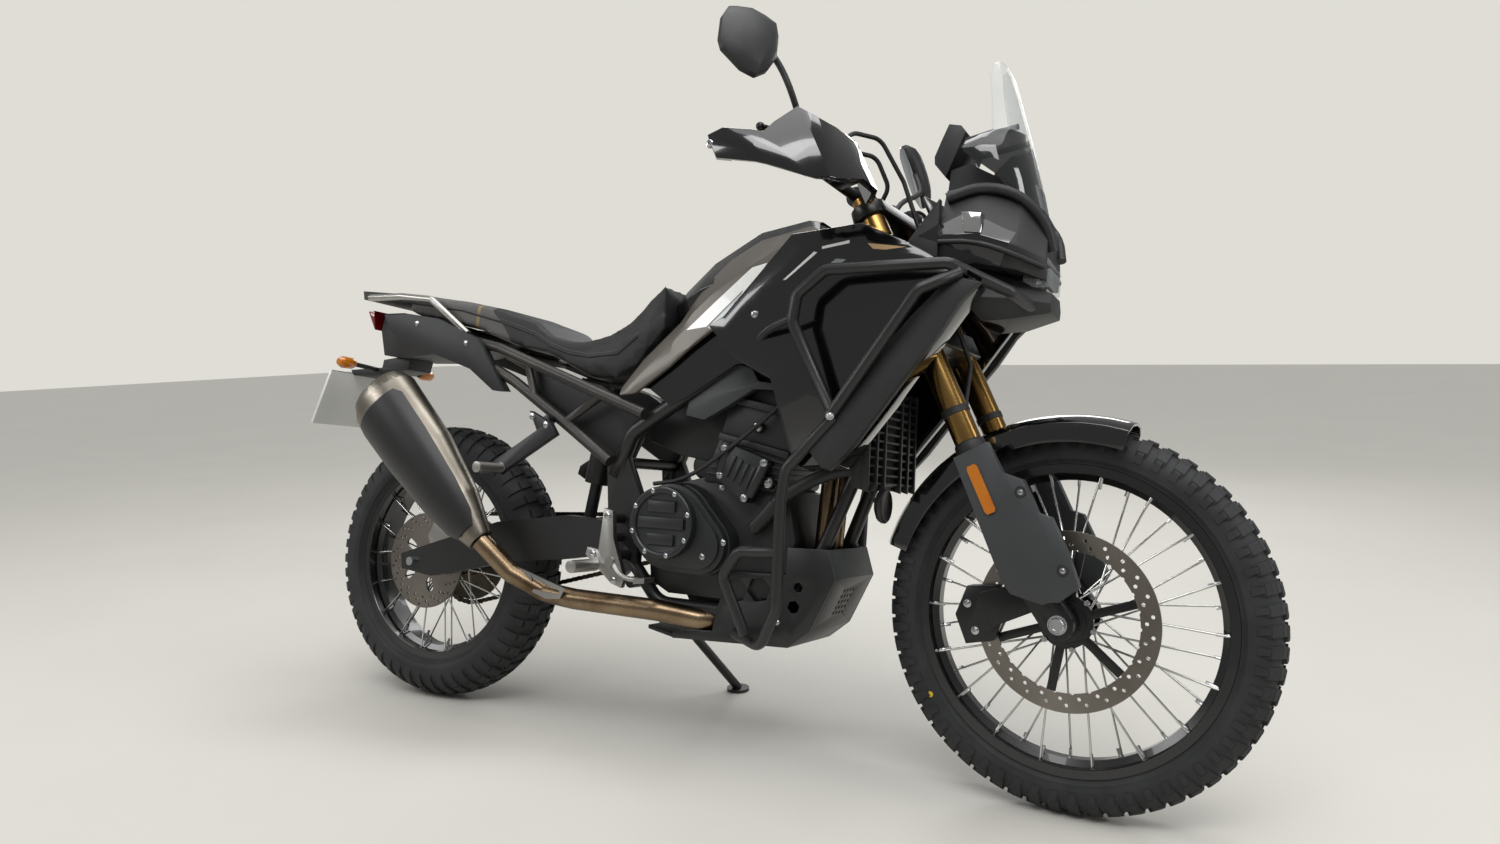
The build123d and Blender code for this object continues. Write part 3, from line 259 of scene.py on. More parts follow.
# Which CAD pieces have which finish
FINISHES = (
    (TUBE_BLACK,
    "main_frame swingarm rear_shock skid_plate crash_bars engine_guards foot_pegs side_stand handlebar"),
    (TEXTURED_ABS, "side_panels nose_fairing beak display tail_fairing plate_holder mirrors"),
    (LEG_BLACK, "rear_caliper triple_clamps fork_legs front_caliper hand_controls disc_carrier"),
    (RIM_BLACK, "front_rim front_hub rear_rim rear_hub"),
    (GLOSS_BLACK, "side_fairings front_fender handguards"),
    (ZINC, "rear_axle front_axle"), (CHAIN_STEEL, "chain rear_sprocket"),
    (DISC_STEEL, "front_disc rear_disc"),
    (SOFT_RUBBER, "grips control_cables"), (TYRE_RUBBER, "front_tyre rear_tyre"), (RAIL_GREY, "subframe"),
    (CAST_BLACK, "engine"), (COVER_BLACK, "engine_covers"), (CORE_BLACK, "radiator"),
    (HEAT_TINTED, "exhaust_pipe"),
    (BRUSHED_STEEL, "silencer"), (TANK_BLACK, "fuel_tank"), (SEAT_BLACK, "seat"),
    (METALLIC_GREY, "tank_panels"),
    (LAMP_COVER, "headlamp"), (CLEAR_SHEET, "windscreen"), (SILVER_ALUMINIUM, "rear_rack"),
    (RED_LENS, "tail_lamp"),
    (GOLD_ANODISED, "fork_tubes"), (GREY_NYLON, "fork_guards"),
)
FINISH = {name: material for material, names in FINISHES for name in names.split()}
for name, material in FINISH.items():
    NODES[name].data.materials.clear()
    NODES[name].data.materials.append(material)

# Lamps. Columns: name, where it stands, what it faces, width, height, watts
LAMPS = (
    ("key", (1.2, -2.4, 3.6), (0.1, 0, 0.5), 3.6, 0.9, 56),
    ("fill", (-3.0, -2.2, 2.4), (-0.3, 0, 0.6), 2.6, 0.7, 34),
    ("top", (0.0, 0.5, 3.8), (0.1, 0, 0.5), 3.8, 0.8, 34),
    ("front", (3.6, 0.2, 1.8), (0.5, 0, 0.7), 0.7, 1.8, 28),
    ("back", (-0.6, 3.6, 2.2), (0, 0, 0.6), 3.0, 0.9, 36),
)
for name, stand, aim, width, height, watts in LAMPS:
    data = bpy.data.lights.new(name, "AREA")
    data.shape, data.size, data.size_y, data.energy = "RECTANGLE", width, height, watts
    lamp = linked(data, name)
    lamp.location = stand
    lamp.rotation_euler = (Vector(aim) - Vector(stand)).to_track_quat("-Z", "Y").to_euler()

# A broad soft light from above, as from a white ceiling
CEILING_POWER, CEILING_SPREAD, CEILING_TILT = 1.9, radians(70), (radians(8), radians(6), 0)
ceiling = bpy.data.lights.new("ceiling", "SUN")
ceiling.energy, ceiling.angle = CEILING_POWER, CEILING_SPREAD
linked(ceiling, "ceiling").rotation_euler = CEILING_TILT

# The eye and clear sheets see a pale backdrop. Everything else is lit by a dimmer one
WORLD_STRENGTH = 0.36
world = bpy.data.worlds.new("studio")
world.use_nodes = True
tree = world.node_tree
back_light = tree.nodes["Background"]
ray = add_node(tree, "ShaderNodeLightPath")
seen = add_node(tree, "ShaderNodeMath", {"operation": "MAXIMUM"})
tree.links.new(ray.outputs["Is Camera Ray"], seen.inputs[0])
tree.links.new(ray.outputs["Is Transmission Ray"], seen.inputs[1])
backdrop = add_node(tree, "ShaderNodeBackground", {"Color": linear("dfddd5"), "Strength": 1.0})
back_light.inputs["Color"].default_value = linear("e2e2e0")
back_light.inputs["Strength"].default_value = WORLD_STRENGTH
either = add_node(tree, "ShaderNodeMixShader", links={"Fac": (seen, "Value")})
tree.links.new(back_light.outputs[0], either.inputs[1])
tree.links.new(backdrop.outputs[0], either.inputs[2])
tree.links.new(either.outputs[0], tree.nodes["World Output"].inputs["Surface"])
bpy.context.scene.world = world

FLOOR_HALF = 20
floor = bpy.data.meshes.new("floor")
floor.from_pydata([(x * FLOOR_HALF, y * FLOOR_HALF, 0) for x, y in ((-1, -1), (1, -1), (1, 1), (-1, 1))], [],
    [(0, 1, 2, 3)])
# Studio floor, poured and sealed: pale warm grey with a dull sheen
floor.materials.append(surface("sealed_studio_floor", "bfbdb6", "c1bfb8", (0.5, 0.6), grain=300, patch=900))
linked(floor, "floor")

# ---- Making pieces ----
RECORD = frame["record"]
BODY_OF = {node: body for body, names in RECORD["behaviour"]["bodies"].items() for node in names}
SLOT_OF = {part["node"]: part["material_slot"] for part in RECORD["subparts"]}
# In metres: points this near are one, and edges this short are none
WELD, SPECK = 5e-6, 1e-5
# Faces that meet flatter than this are one face, and edges sharper than this are broken
FLAT_ANGLE, SHARP_ANGLE = radians(1.5), radians(34)
# How much further out broken edges may push a piece
MOST_GROWTH = 0.3 * MM


def placed(name, data, body, finishes, slot, stands_for=(), angle=32):
    """An object with this mesh and these finishes, riding on a body."""
    for material in finishes:
        data.materials.append(material)
    data.shade_smooth()
    data.set_sharp_from_angle(angle=radians(angle))
    piece = linked(data, name)
    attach(piece, body)
    if stands_for:
        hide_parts(*stands_for)
    return piece


def opened(*meshes):
    """A bmesh with these meshes in it."""
    bm = bmesh.new()
    for data in meshes:
        bm.from_mesh(data)
    return bm


def shut(name, bm):
    """A mesh of what a bmesh holds. The bmesh goes."""
    data = bpy.data.meshes.new(name)
    bm.to_mesh(data)
    bm.free()
    return data


def mesh_of(name, bm):
    """The same, welded and facing outwards."""
    bmesh.ops.remove_doubles(bm, verts=bm.verts, dist=WELD)
    bmesh.ops.recalc_face_normals(bm, faces=bm.faces)
    return shut(name, bm)


def made(name, bm, body, finishes, slot, **rest):
    """The same as placed, from a bmesh."""
    return placed(name, mesh_of(name, bm), body, finishes, slot, **rest)


def ray_tree(*meshes):
    """What a ray meets on these meshes."""
    bm = opened(*meshes)
    tree = BVHTree.FromBMesh(bm)
    bm.free()
    return tree


def taken(holder):
    """The mesh of an object with its modifiers applied. The object goes."""
    graph = bpy.context.evaluated_depsgraph_get()
    data = bpy.data.meshes.new_from_object(holder.evaluated_get(graph), depsgraph=graph)
    bpy.data.objects.remove(holder)
    return data


def reach_of(data):
    """The lowest and highest x, y and z of a mesh."""
    corners = [v.co for v in data.vertices]
    return [(min(c[n] for c in corners), max(c[n] for c in corners)) for n in range(3)]


def welded(name):
    """A CAD piece's mesh, welded, its flat faces whole."""
    bm = opened(NODES[name].data)
    bmesh.ops.remove_doubles(bm, verts=bm.verts, dist=WELD)
    bmesh.ops.dissolve_degenerate(bm, edges=bm.edges, dist=SPECK)
    bmesh.ops.dissolve_limit(bm, angle_limit=FLAT_ANGLE, verts=bm.verts, edges=bm.edges)
    return mesh_of(name, bm)


def eased(data, width):
    """Its sharp edges broken by this many mm. It stays as it was where that would push it outwards."""
    before = reach_of(data)
    holder = linked(data)
    edges = holder.modifiers.new("edges", "BEVEL")
    edges.width, edges.segments, edges.use_clamp_overlap = width * MM, 2, False
    edges.limit_method, edges.angle_limit, edges.miter_outer = "ANGLE", SHARP_ANGLE, "MITER_ARC"
    result = taken(holder)
    growth = max(max(low - new_low, new_high - high) for (low, high), (new_low, new_high) in zip(before,
        reach_of(result)))
    return data if growth > MOST_GROWTH else result


HANDS = ((-1, "right"), (1, "left"))


def inside(point, outline):
    """Whether a point in x and z lies in an outline."""
    x, z = point
    odd = False
    for (x0, z0), (x1, z1) in zip(outline, outline[1:] + outline[:1]):
        if (z0 > z) != (z1 > z) and x < x0 + (z - z0) * (x1 - x0) / (z1 - z0):
            odd = not odd
    return odd


# Faces this near an outline (mm) are cut along it, and points this near the cut (m) are on it
INLAY_MARGIN, ON_CUT = 12, 1e-6


def inlaid(bm, base, outline, finish):
    """Cuts the faces along an outline seen from the side and gives those within it a finish."""
    home = base.inverted()
    (low_x, high_x), (low_z, high_z) = ((min(p[n] for p in outline) - INLAY_MARGIN,
        max(p[n] for p in outline) + INLAY_MARGIN) for n in (0, 1))

    def near(face):
        spots = [home @ v.co for v in face.verts]
        return (
            max(p.x for p in spots) > low_x and min(p.x for p in spots) < high_x
            and max(p.z for p in spots) > low_z and min(p.z for p in spots) < high_z
        )

    for (x0, z0), (x1, z1) in zip(outline, outline[1:] + outline[:1]):
        faces = [f for f in bm.faces if near(f)]
        geometry = faces + list({e for f in faces for e in f.edges}) + list({v for f in faces
            for v in f.verts})
        across = (base.to_3x3() @ Vector((z1 - z0, 0, x0 - x1))).normalized()
        bmesh.ops.bisect_plane(bm, geom=geometry, dist=ON_CUT, plane_co=base @ Vector((x0, 0, z0)),
            plane_no=across)
    for face in bm.faces:
        middle = home @ face.calc_center_median()
        if inside((middle.x, middle.z), outline):
            face.material_index = finish


def dressed(name, width, finishes=None, pick=None, inlays=(), base=PARKED, data=None):
    """A copy of a CAD piece, or a form for it, with edges broken by this width and its finishes. pick takes a
    face's middle and normal in the base frame. Inlays. Columns: outline in x and z, finish."""
    data = data or welded(name)
    if width:
        data = eased(data, width)
    if pick or inlays:
        bm = opened(data)
        home = base.inverted()
        turn = home.to_3x3()
        if pick:
            for face in bm.faces:
                face.material_index = pick(home @ face.calc_center_median(),
                    (turn @ face.normal).normalized())
        for outline, finish in inlays:
            inlaid(bm, base, outline, finish)
        data = shut(name, bm)
    return placed("made_" + name, data, BODY_OF[name], finishes or (FINISH[name],), SLOT_OF[name],
        stands_for=(name,))


def joined(bm, near, far, closed=True):
    """Faces from one row of points to the next."""
    count = len(near)
    for n in range(count if closed else count - 1):
        m = (n + 1) % count
        bm.faces.new((near[n], near[m], far[m], far[n]))


def lathe(bm, base, profile, steps, closed=False):
    """A profile turned about the base's Y axis, closed where it is a ring. Profile columns: radius, y."""
    rings = []
    for n in range(steps):
        turn = 2 * pi * n / steps
        rings.append([bm.verts.new(base @ Vector((r * cos(turn), y, r * sin(turn)))) for r, y in profile])
    for near, far in zip(rings, rings[1:] + rings[:1]):
        joined(bm, near, far, closed)


def skinned(bm, base, rings):
    """Closed rings of points joined one to the next, with both ends closed."""
    rows = [[bm.verts.new(base @ Vector(p)) for p in ring] for ring in rings]
    for near, far in zip(rows, rows[1:]):
        joined(bm, near, far)
    bm.faces.new(rows[0])
    bm.faces.new(rows[-1])


def prism(bm, outline, low, high, base=PARKED):
    """An outline in x and z between two values of y."""
    near, far = ([bm.verts.new(base @ Vector((x, y, z))) for x, z in outline] for y in sorted((low, high)))
    bm.faces.new(near)
    bm.faces.new(far)
    joined(bm, near, far)


def slabs(bm, outline, near, far):
    """The same on both sides, from y = near out to y = far."""
    for side in (-1, 1):
        prism(bm, outline, side * near, side * far)


# The share of a straight that is cut from each of its ends
CORNER = 0.25


def rounded(points, rounds=2):
    """Corners cut twice over, for a bent tube's path."""
    path = [Vector(p) for p in points]
    for _ in range(rounds):
        cut = [path[0]]
        for a, b in zip(path, path[1:]):
            cut += [a.lerp(b, CORNER), a.lerp(b, 1 - CORNER)]
        path = cut + [path[-1]]
    return path


def tube(bm, points, radius, sides=10, base=PARKED):
    """A round bar along points in mm, closed at its ends."""
    path = [Vector(p) for p in points]
    across = (path[1] - path[0]).normalized().orthogonal().normalized()
    turns = [2 * pi * k / sides for k in range(sides)]
    rings = []
    for n, place in enumerate(path):
        ahead = (path[min(n + 1, len(path) - 1)] - path[max(n - 1, 0)]).normalized()
        across = (across - ahead * across.dot(ahead)).normalized()
        up = ahead.cross(across)
        rings.append([place + (across * cos(t) + up * sin(t)) * radius for t in turns])
    skinned(bm, base, rings)


def copies_group(name, inputs, spots):
    """A node group: copies of a shape in one finish, where spots gives their points, shape and rotation."""
    tree = bpy.data.node_groups.new(name, "GeometryNodeTree")
    for label, kind in inputs + (("Count", "Int"), ("Finish", "Material")):
        tree.interface.new_socket(name=label, in_out="INPUT", socket_type="NodeSocket" + kind)
    tree.interface.new_socket(name="Shape", in_out="OUTPUT", socket_type="NodeSocketGeometry")
    given = add_node(tree, "NodeGroupInput")
    links = dict(zip(("Points", "Instance", "Rotation"), spots(tree, given)))
    copies = add_node(tree, "GeometryNodeInstanceOnPoints", links=links)
    real = add_node(tree, "GeometryNodeRealizeInstances", links={"Geometry": (copies, "Instances")})
    coated = add_node(tree, "GeometryNodeSetMaterial", links={"Geometry": (real, "Geometry"),
        "Material": (given, "Finish")})
    add_node(tree, "NodeGroupOutput", links={"Shape": (coated, "Geometry")})
    return tree


def in_steps(tree, given):
    """Copies of the incoming shape, each moved and turned on from the last."""
    index = add_node(tree, "GeometryNodeInputIndex")
    line = add_node(tree, "GeometryNodeMeshLine", {"Offset": (0, 0, 0)}, {"Count": (given, "Count")})
    travel = add_node(tree, "ShaderNodeVectorMath", {"operation": "MULTIPLY"},
        {0: (index, "Index"), 1: (given, "Step")})
    moved = add_node(tree, "GeometryNodeSetPosition",
        links={"Geometry": (line, "Mesh"), "Offset": (travel, "Vector")})
    spin = add_node(tree, "ShaderNodeVectorMath", {"operation": "MULTIPLY_ADD"},
        {0: (index, "Index"), 1: (given, "Turn"), 2: (given, "Phase")})
    turned = add_node(tree, "FunctionNodeEulerToRotation", links={"Euler": (spin, "Vector")})
    return (moved, "Geometry"), (given, "Shape"), (turned, "Rotation")


def on_a_run(tree, given):
    """Copies of an object along the incoming edges, lined up with them in the machine's side plane."""
    curve = add_node(tree, "GeometryNodeMeshToCurve", links={"Mesh": (given, "Run")})
    even = add_node(tree, "GeometryNodeResampleCurve", {"mode": "COUNT"},
        {"Curve": (curve, "Curve"), "Count": (given, "Count")})
    way = add_node(tree, "GeometryNodeInputTangent")
    lined = add_node(tree, "FunctionNodeAlignRotationToVector", {"axis": "X", "pivot_axis": "Y"},
        {"Vector": (way, "Tangent")})
    unit = add_node(tree, "GeometryNodeObjectInfo", {"As Instance": True}, {"Object": (given, "Unit")})
    return (even, "Curve"), (unit, "Geometry"), (lined, "Rotation")


STEPPED = copies_group("stepped_copies", (("Shape", "Geometry"), ("Step", "Vector"), ("Turn", "Vector"),
    ("Phase", "Vector")), in_steps)
ALONG = copies_group("copies_along_a_run", (("Run", "Geometry"), ("Unit", "Object")), on_a_run)


def grown(data, tree, base, values):
    """What a node group makes of a mesh in mm, taken into the row frame."""
    holder = linked(data)
    nodes = holder.modifiers.new("nodes", "NODES")
    nodes.node_group = tree
    for item in tree.interface.items_tree:
        if item.in_out == "INPUT" and item.name in values:
            nodes[item.identifier] = values[item.name]
    result = taken(holder)
    result.transform(base)
    return result


def stepped(name, bm, base, count, body, material, slot, step=(0, 0, 0), turn=(0, 0, 0), phase=(0, 0, 0)):
    """An object of stepped copies of a shape drawn in mm in the base frame."""
    data = grown(mesh_of(name, bm), STEPPED, base, {"Count": count, "Step": step, "Turn": turn,
        "Phase": phase, "Finish": material})
    return placed(name, data, body, (), slot)


def around(name, bm, base, count, body, material, slot, phase=0.0):
    """The same, evenly round a wheel."""
    return stepped(name, bm, base, count, body, material, slot, turn=(0, 2 * pi / count, 0),
        phase=(0, phase, 0))


def surface_tree(*names):
    """What a ray meets on these pieces, as they are seen."""
    return ray_tree(*(bpy.data.objects.get("made_" + name, NODES[name]).data for name in names))


# A socket head with its washer. Columns: distance from its middle and height, in radii
BOLT_HEAD = ((1.25, 0.16), (0.98, 0.22), (0.94, 0.5), (0.7, 0.72), (0.46, 0.76), (0.44, 0.3), (0, 0.3))
# How deep the washer stands in (mm), how far off a seat is looked for (m), how square to it a head may lie
BOLT_SUNK, BOLT_SEARCH, BOLT_TRUE, BOLT_SIDES = 0.4, 0.3, 0.5, 16


def bolts(name, rows, body, material, slot, base=PARKED):
    """Domed socket heads seated on pieces. Columns: pieces, x, y, z, the way the head faces, radius."""
    bm = bmesh.new()
    trees = {piece: surface_tree(*piece.split("+")) for piece in sorted({row[0] for row in rows})}
    for piece, x, y, z, facing, radius in rows:
        way = (base.to_3x3() @ Vector(facing)).normalized()
        start = base @ Vector((x, y, z)) + way * BOLT_SEARCH
        place, normal, _, _ = trees[piece].ray_cast(start, -way, 2 * BOLT_SEARCH)
        if place is None:
            raise SystemExit(f"no surface under the {name} bolt at {x}, {y}, {z}")
        if normal.dot(way) < BOLT_TRUE:
            normal = way
        seat = Matrix.Translation(place) @ normal.to_track_quat("Y",
            "Z").to_matrix().to_4x4() @ Matrix.Scale(MM, 4)
        head = [(radius * out, radius * up) for out, up in BOLT_HEAD]
        lathe(bm, seat, [(head[0][0], -BOLT_SUNK)] + head, BOLT_SIDES)
    return made(name, bm, body, (material,), slot)


# ---- Forms drawn in mm ----


def body_form(bm, sections):
    """Columns: x, low, middle and high z, the half width at each."""
    skinned(bm, PARKED, [[(x, -a, low), (x, a, low), (x, b, middle), (x, c, high), (x, -c, high),
        (x, -b, middle)] for x, low, middle, high, a, b, c in sections])


def wing_form(bm, sections, thick):
    """A panel on each side. Columns: x, then y and z of its foot, crease and top."""
    for side in (-1, 1):
        rings = []
        for x, *flat in sections:
            edge = list(zip(flat[0::2], flat[1::2]))
            edge += [(y - thick, z - thick / 3) for y, z in reversed(edge)]
            rings.append([(x, side * y, z) for y, z in edge])
        skinned(bm, PARKED, rings)


def pad_form(bm, outline, root, face, draw):
    """The same on both sides, from y = root out to y = face, drawn in there by this much."""
    cx = sum(p[0] for p in outline) / len(outline)
    cz = sum(p[1] for p in outline) / len(outline)
    far = max(sqrt((x - cx)**2 + (z - cz)**2) for x, z in outline)
    for side in (-1, 1):
        shrink = 1 - draw / far
        skinned(bm, PARKED, [[(x, side * root, z) for x, z in outline],
            [(cx + (x - cx) * shrink, side * face, cz + (z - cz) * shrink) for x, z in outline]])


HULL_STEPS = 40


def round_hull(first, second, shrink=0):
    """The outline round two circles, each x, z, radius."""
    (x0, z0, r0), (x1, z1, r1) = first, second
    r0, r1 = r0 - shrink, r1 - shrink
    way = atan2(z1 - z0, x1 - x0)
    spread = pi / 2 - atan2(r0 - r1, sqrt((x1 - x0)**2 + (z1 - z0)**2 - (r0 - r1)**2))
    points = []
    for x, z, r, start, end in ((x1, z1, r1, way - spread, way + spread),
            (x0, z0, r0, way + spread, way - spread + 2 * pi)):
        points += [(x + r * cos(start + (end - start) * n / HULL_STEPS),
            z + r * sin(start + (end - start) * n / HULL_STEPS)) for n in range(HULL_STEPS + 1)]
    return points


def drawn(draw):
    """The mesh that a function draws on a bmesh."""
    bm = bmesh.new()
    draw(bm)
    return mesh_of("form", bm)


def cut(data, tool, keep=False):
    """A mesh less another, or what it shares with it."""
    holder, knife = linked(data), linked(tool)
    less = holder.modifiers.new("less", "BOOLEAN")
    less.operation, less.solver, less.object = "INTERSECT" if keep else "DIFFERENCE", "EXACT", knife
    result = taken(holder)
    bpy.data.objects.remove(knife)
    return result


# What the clamps and tubes sweep as they turn: its radius, its reach behind the axis and its ends along it
SWEEP_R, SWEEP_BACK, SWEEP_ENDS, SWEEP_STEPS = 158, 76, (640, 1262), 60


def fork_sweep(bm):
    """The space they sweep."""
    turns = [2 * pi * n / SWEEP_STEPS for n in range(SWEEP_STEPS)]
    outline = [(max(SWEEP_R * cos(t), -SWEEP_BACK), SWEEP_R * sin(t)) for t in turns]
    skinned(bm, FORK, [[(n, s, t) for n, s in outline] for t in SWEEP_ENDS])


def clear_of_fork(data):
    """A mesh less what the clamps and tubes sweep."""
    return cut(data, drawn(fork_sweep))


# Bodywork. Columns: x, low, middle and high z, the half width at each
TANK = ((668, 880, 930, 972, 66, 84, 40), (740, 872, 962, 1030, 86, 110, 50),
    (850, 862, 990, 1090, 100, 132, 54), (960, 860, 1010, 1108, 108, 138, 58),
    (1040, 900, 1010, 1094, 104, 128, 54))
NOSE = ((1262, 975, 1036, 1132, 130, 148, 104), (1330, 985, 1036, 1146, 130, 146, 92),
    (1400, 974, 1016, 1118, 104, 118, 76), (1444, 962, 1000, 1068, 62, 74, 50))
BEAK = ((1290, 884, 930, 996, 80, 100, 84), (1384, 890, 926, 968, 76, 92, 66),
    (1452, 905, 922, 942, 44, 50, 36))
TAIL = ((-236, 838, 900, 946, 40, 56, 46), (-150, 828, 880, 942, 60, 86, 66),
    (-60, 830, 880, 926, 78, 112, 84), (100, 850, 870, 884, 90, 114, 90))
TAIL_SIDE = ((-142, 924), (-59, 925), (38, 911), (108, 881), (160, 862), (253, 739), (220, 740), (146, 790),
    (-64, 855), (-114, 880))
# Columns: x, then y and z of the foot, crease and top
TANK_WING = ((580, 150, 732, 146, 742, 138, 752), (620, 152, 736, 148, 770, 124, 812),
    (700, 152, 792, 142, 846, 112, 893), (745, 154, 829, 144, 904, 98, 972),
    (800, 156, 868, 148, 950, 90, 1026), (865, 158, 914, 150, 990, 82, 1066),
    (970, 160, 1008, 144, 1050, 74, 1091), (1040, 156, 1034, 140, 1046, 108, 1062))
SHROUD = ((847, 887), (990, 1047), (1137, 1060), (1231, 1015), (1363, 940), (1230, 752), (1111, 597),
    (1033, 590), (1010, 620), (960, 760), (880, 800), (813, 868))
SHROUD_IN = ((872, 892), (1004, 1033), (1133, 1045), (1224, 1002), (1340, 936), (1214, 760), (1104, 612),
    (1042, 604), (1026, 628), (976, 768), (894, 812), (842, 866))
STRIP = ((1099, 590), (1126, 615), (1150, 642), (1236, 761), (1276, 815), (1296, 840), (1335, 900),
    (1366, 932), (1312, 947), (1288, 918), (1248, 878), (1182, 803), (1118, 718), (1069, 661), (1054, 626),
    (1085, 592))
TANK_COVER = ((640, 752), (745, 846), (865, 930), (930, 960), (930, 850), (880, 800), (852, 800), (738, 730),
    (700, 712))
SCOOP = ((733, 694), (777, 685), (831, 715), (888, 750), (946, 748), (946, 760), (897, 766), (882, 792),
    (852, 800), (738, 722))


def nose(bm):
    """The cowl round the screen's foot, with a fin in front and a cheek on each side."""
    body_form(bm, NOSE)
    prism(bm, [(1396, 1110), (1440, 1066), (1444, 1076), (1429, 1103), (1418.5, 1150), (1408, 1150)], -20, 20)
    slabs(bm, [(1190, 1010), (1262, 975), (1262, 1106)], 130, 148)


# Steps round the screen, how full its bend is, its thickness from front to back and from side to side
SCREEN_STEPS, SCREEN_BEND, SCREEN_THICK, SCREEN_EDGE = 16, 0.8, 3.6, 2.4


def screen(bm):
    """A wrapped sheet. Columns: z, front x, half width, edge x."""
    rows = []
    for z, front, half, edge in ((1096, 1432, 96, 1340), (1150, 1419, 114, 1312), (1205, 1405, 126, 1294),
            (1228, 1399, 114, 1300), (1250, 1393, 84, 1340), (1320, 1373, 66, 1332), (1374, 1357, 56, 1324),
            (1402, 1341, 36, 1328)):
        outer = []
        for n in range(SCREEN_STEPS + 1):
            t = radians(-90 + 180 * n / SCREEN_STEPS)
            bend = cos(t)**SCREEN_BEND if n not in (0, SCREEN_STEPS) else 0
            outer.append((edge + (front - edge) * bend, half * sin(t), z))
        inner = [(x - SCREEN_THICK, y * (1 - SCREEN_EDGE / half), z) for x, y, _ in reversed(outer)]
        rows.append(outer + inner)
    skinned(bm, PARKED, rows)


def screen_foot(bm):
    """What the screen ends on."""
    prism(bm, [(1260, 1224), (1304, 1192), (1428, 1103), (1480, 1066), (1480, 1000), (1260, 1000)], -200, 200)


def dial(bm):
    """The display's case, its bracket and two stays."""
    prism(bm, [(1251, 1273), (1275, 1268), (1285, 1255), (1249, 1168), (1226, 1196), (1225, 1211),
        (1238, 1243)], -74, 74)
    prism(bm, [(1250, 1240), (1276, 1236), (1320, 1142), (1296, 1128), (1256, 1180)], -22, 22)
    for y in (-50, 50):
        tube(bm, [(1262, y, 1240), (1380, y, 1262)], 6)


def lamps(bm):
    """Two lamps over each other and a small one on each side."""
    prism(bm, [(1400, 1034), (1434, 1030), (1450, 992), (1400, 992)], -60, 60)
    prism(bm, [(1400, 986), (1450, 986), (1448, 952), (1400, 952)], -54, 54)
    pad_form(bm, [(1301, 1081), (1343, 1075), (1342, 1034), (1309, 1038)], 128, 149, 4)


def tail(bm):
    """The tail with its side panels."""
    slabs(bm, TAIL_SIDE, 110, 138)
    body_form(bm, TAIL)


def plate_frame(bm):
    """The arm behind the tail, the number plate and a turn lamp on each side."""
    prism(bm, [(-240, 806), (-236, 826), (-140, 838), (-150, 800), (-260, 786), (-345, 786), (-352, 800)],
        -40, 40)
    prism(bm, [(-350, 792), (-342, 790), (-398, 652), (-406, 655)], -110, 110)
    for side in (-1, 1):
        tube(bm, [(-260, side * 30, 800), (-262, side * 120, 806)], 6)
        lathe(bm, PARKED @ Matrix.Translation((-262, 0, 806)), [(0, side * 108), (9, side * 110),
            (14, side * 120), (15, side * 148), (9, side * 160), (0, side * 160)], 16)


# The engine. Cylinder parts from the base up, each an outline and its half width
CASE = ((655, 345), (640, 470), (662, 540), (800, 575), (965, 545), (985, 450), (960, 345), (900, 322),
    (700, 322))
CYLINDERS = (
    (((772, 560), (936, 545), (962, 612), (804, 648)), 102),
    (((804, 648), (962, 612), (967, 625), (809, 661)), 112),
    (((809, 661), (967, 625), (988, 690), (826, 724)), 104),
    (((826, 724), (988, 690), (994, 704), (830, 738)), 112),
    (((830, 738), (994, 704), (986, 764), (856, 786)), 92),
)
# Round lids on the side covers and how far out they start and end. Columns: side, x and z of the middle,
# radius, radius of the circle of bolts, how many bolts, where the first is in radians
LID_SPAN = (160, 188)
LIDS = ((-1, 724, 470, 74, 67, 8, 0.3), (1, 800, 450, 64, 57, 6, 0.2))
# Side covers. Columns: side, two circles as x, z, radius, then how far out the case and the cover reach
COVERS = ((-1, (730, 462, 92), (800, 430, 62), 140, 166), (1, (800, 450, 86), (880, 440, 50), 140, 168))


def case(bm):
    """The crankcase, the barrel with its ribs, the head, the intakes and the starter."""
    prism(bm, CASE, -98, 70)
    prism(bm, [(max(x, 700), z) for x, z in CASE[3:]] + [(700, 560)], 69, 98)
    prism(bm, [(720, 335), (950, 335), (920, 300), (740, 300)], -70, 70)
    for outline, half in CYLINDERS:
        prism(bm, outline, -half, half)
    # ribs across the barrel
    for n in range(5):
        low = (778 + 6.4 * n, 576 + 13 * n)
        high = (941 + 5 * n, 556 + 11 * n)
        prism(bm, [low, high, (high[0] + 1, high[1] + 4), (low[0] + 1, low[1] + 4)], -107, 107)
    for side, first, second, near, _ in COVERS:
        prism(bm, round_hull(first, second), side * 97, side * near)
    for y in (-45, 45):
        tube(bm, [(850, y, 712), (762, y, 752)], 25, sides=24)
        tube(bm, [(800, y, 735), (792, y, 739)], 28, sides=24)
    lathe(bm, PARKED @ Matrix.Translation((748, 0, 592)), [(0, -62), (24, -62), (30, -56), (30, 66),
        (24, 72), (0, 72)], 28)
    tube(bm, rounded([(896, -112, 468), (930, -118, 500), (949, -120, 524)], 1), 15, sides=20)
    for side in (-1, 1):
        for x, z, reach, radius in ((927, 563, 118, 13), (897, 674, 116, 12)):
            lathe(bm, PARKED @ Matrix.Translation((x, 0, z)),
                [(radius, side * 98), (radius, side * (reach - 2)), (radius - 2, side * reach),
                (0, side * reach)], 20)


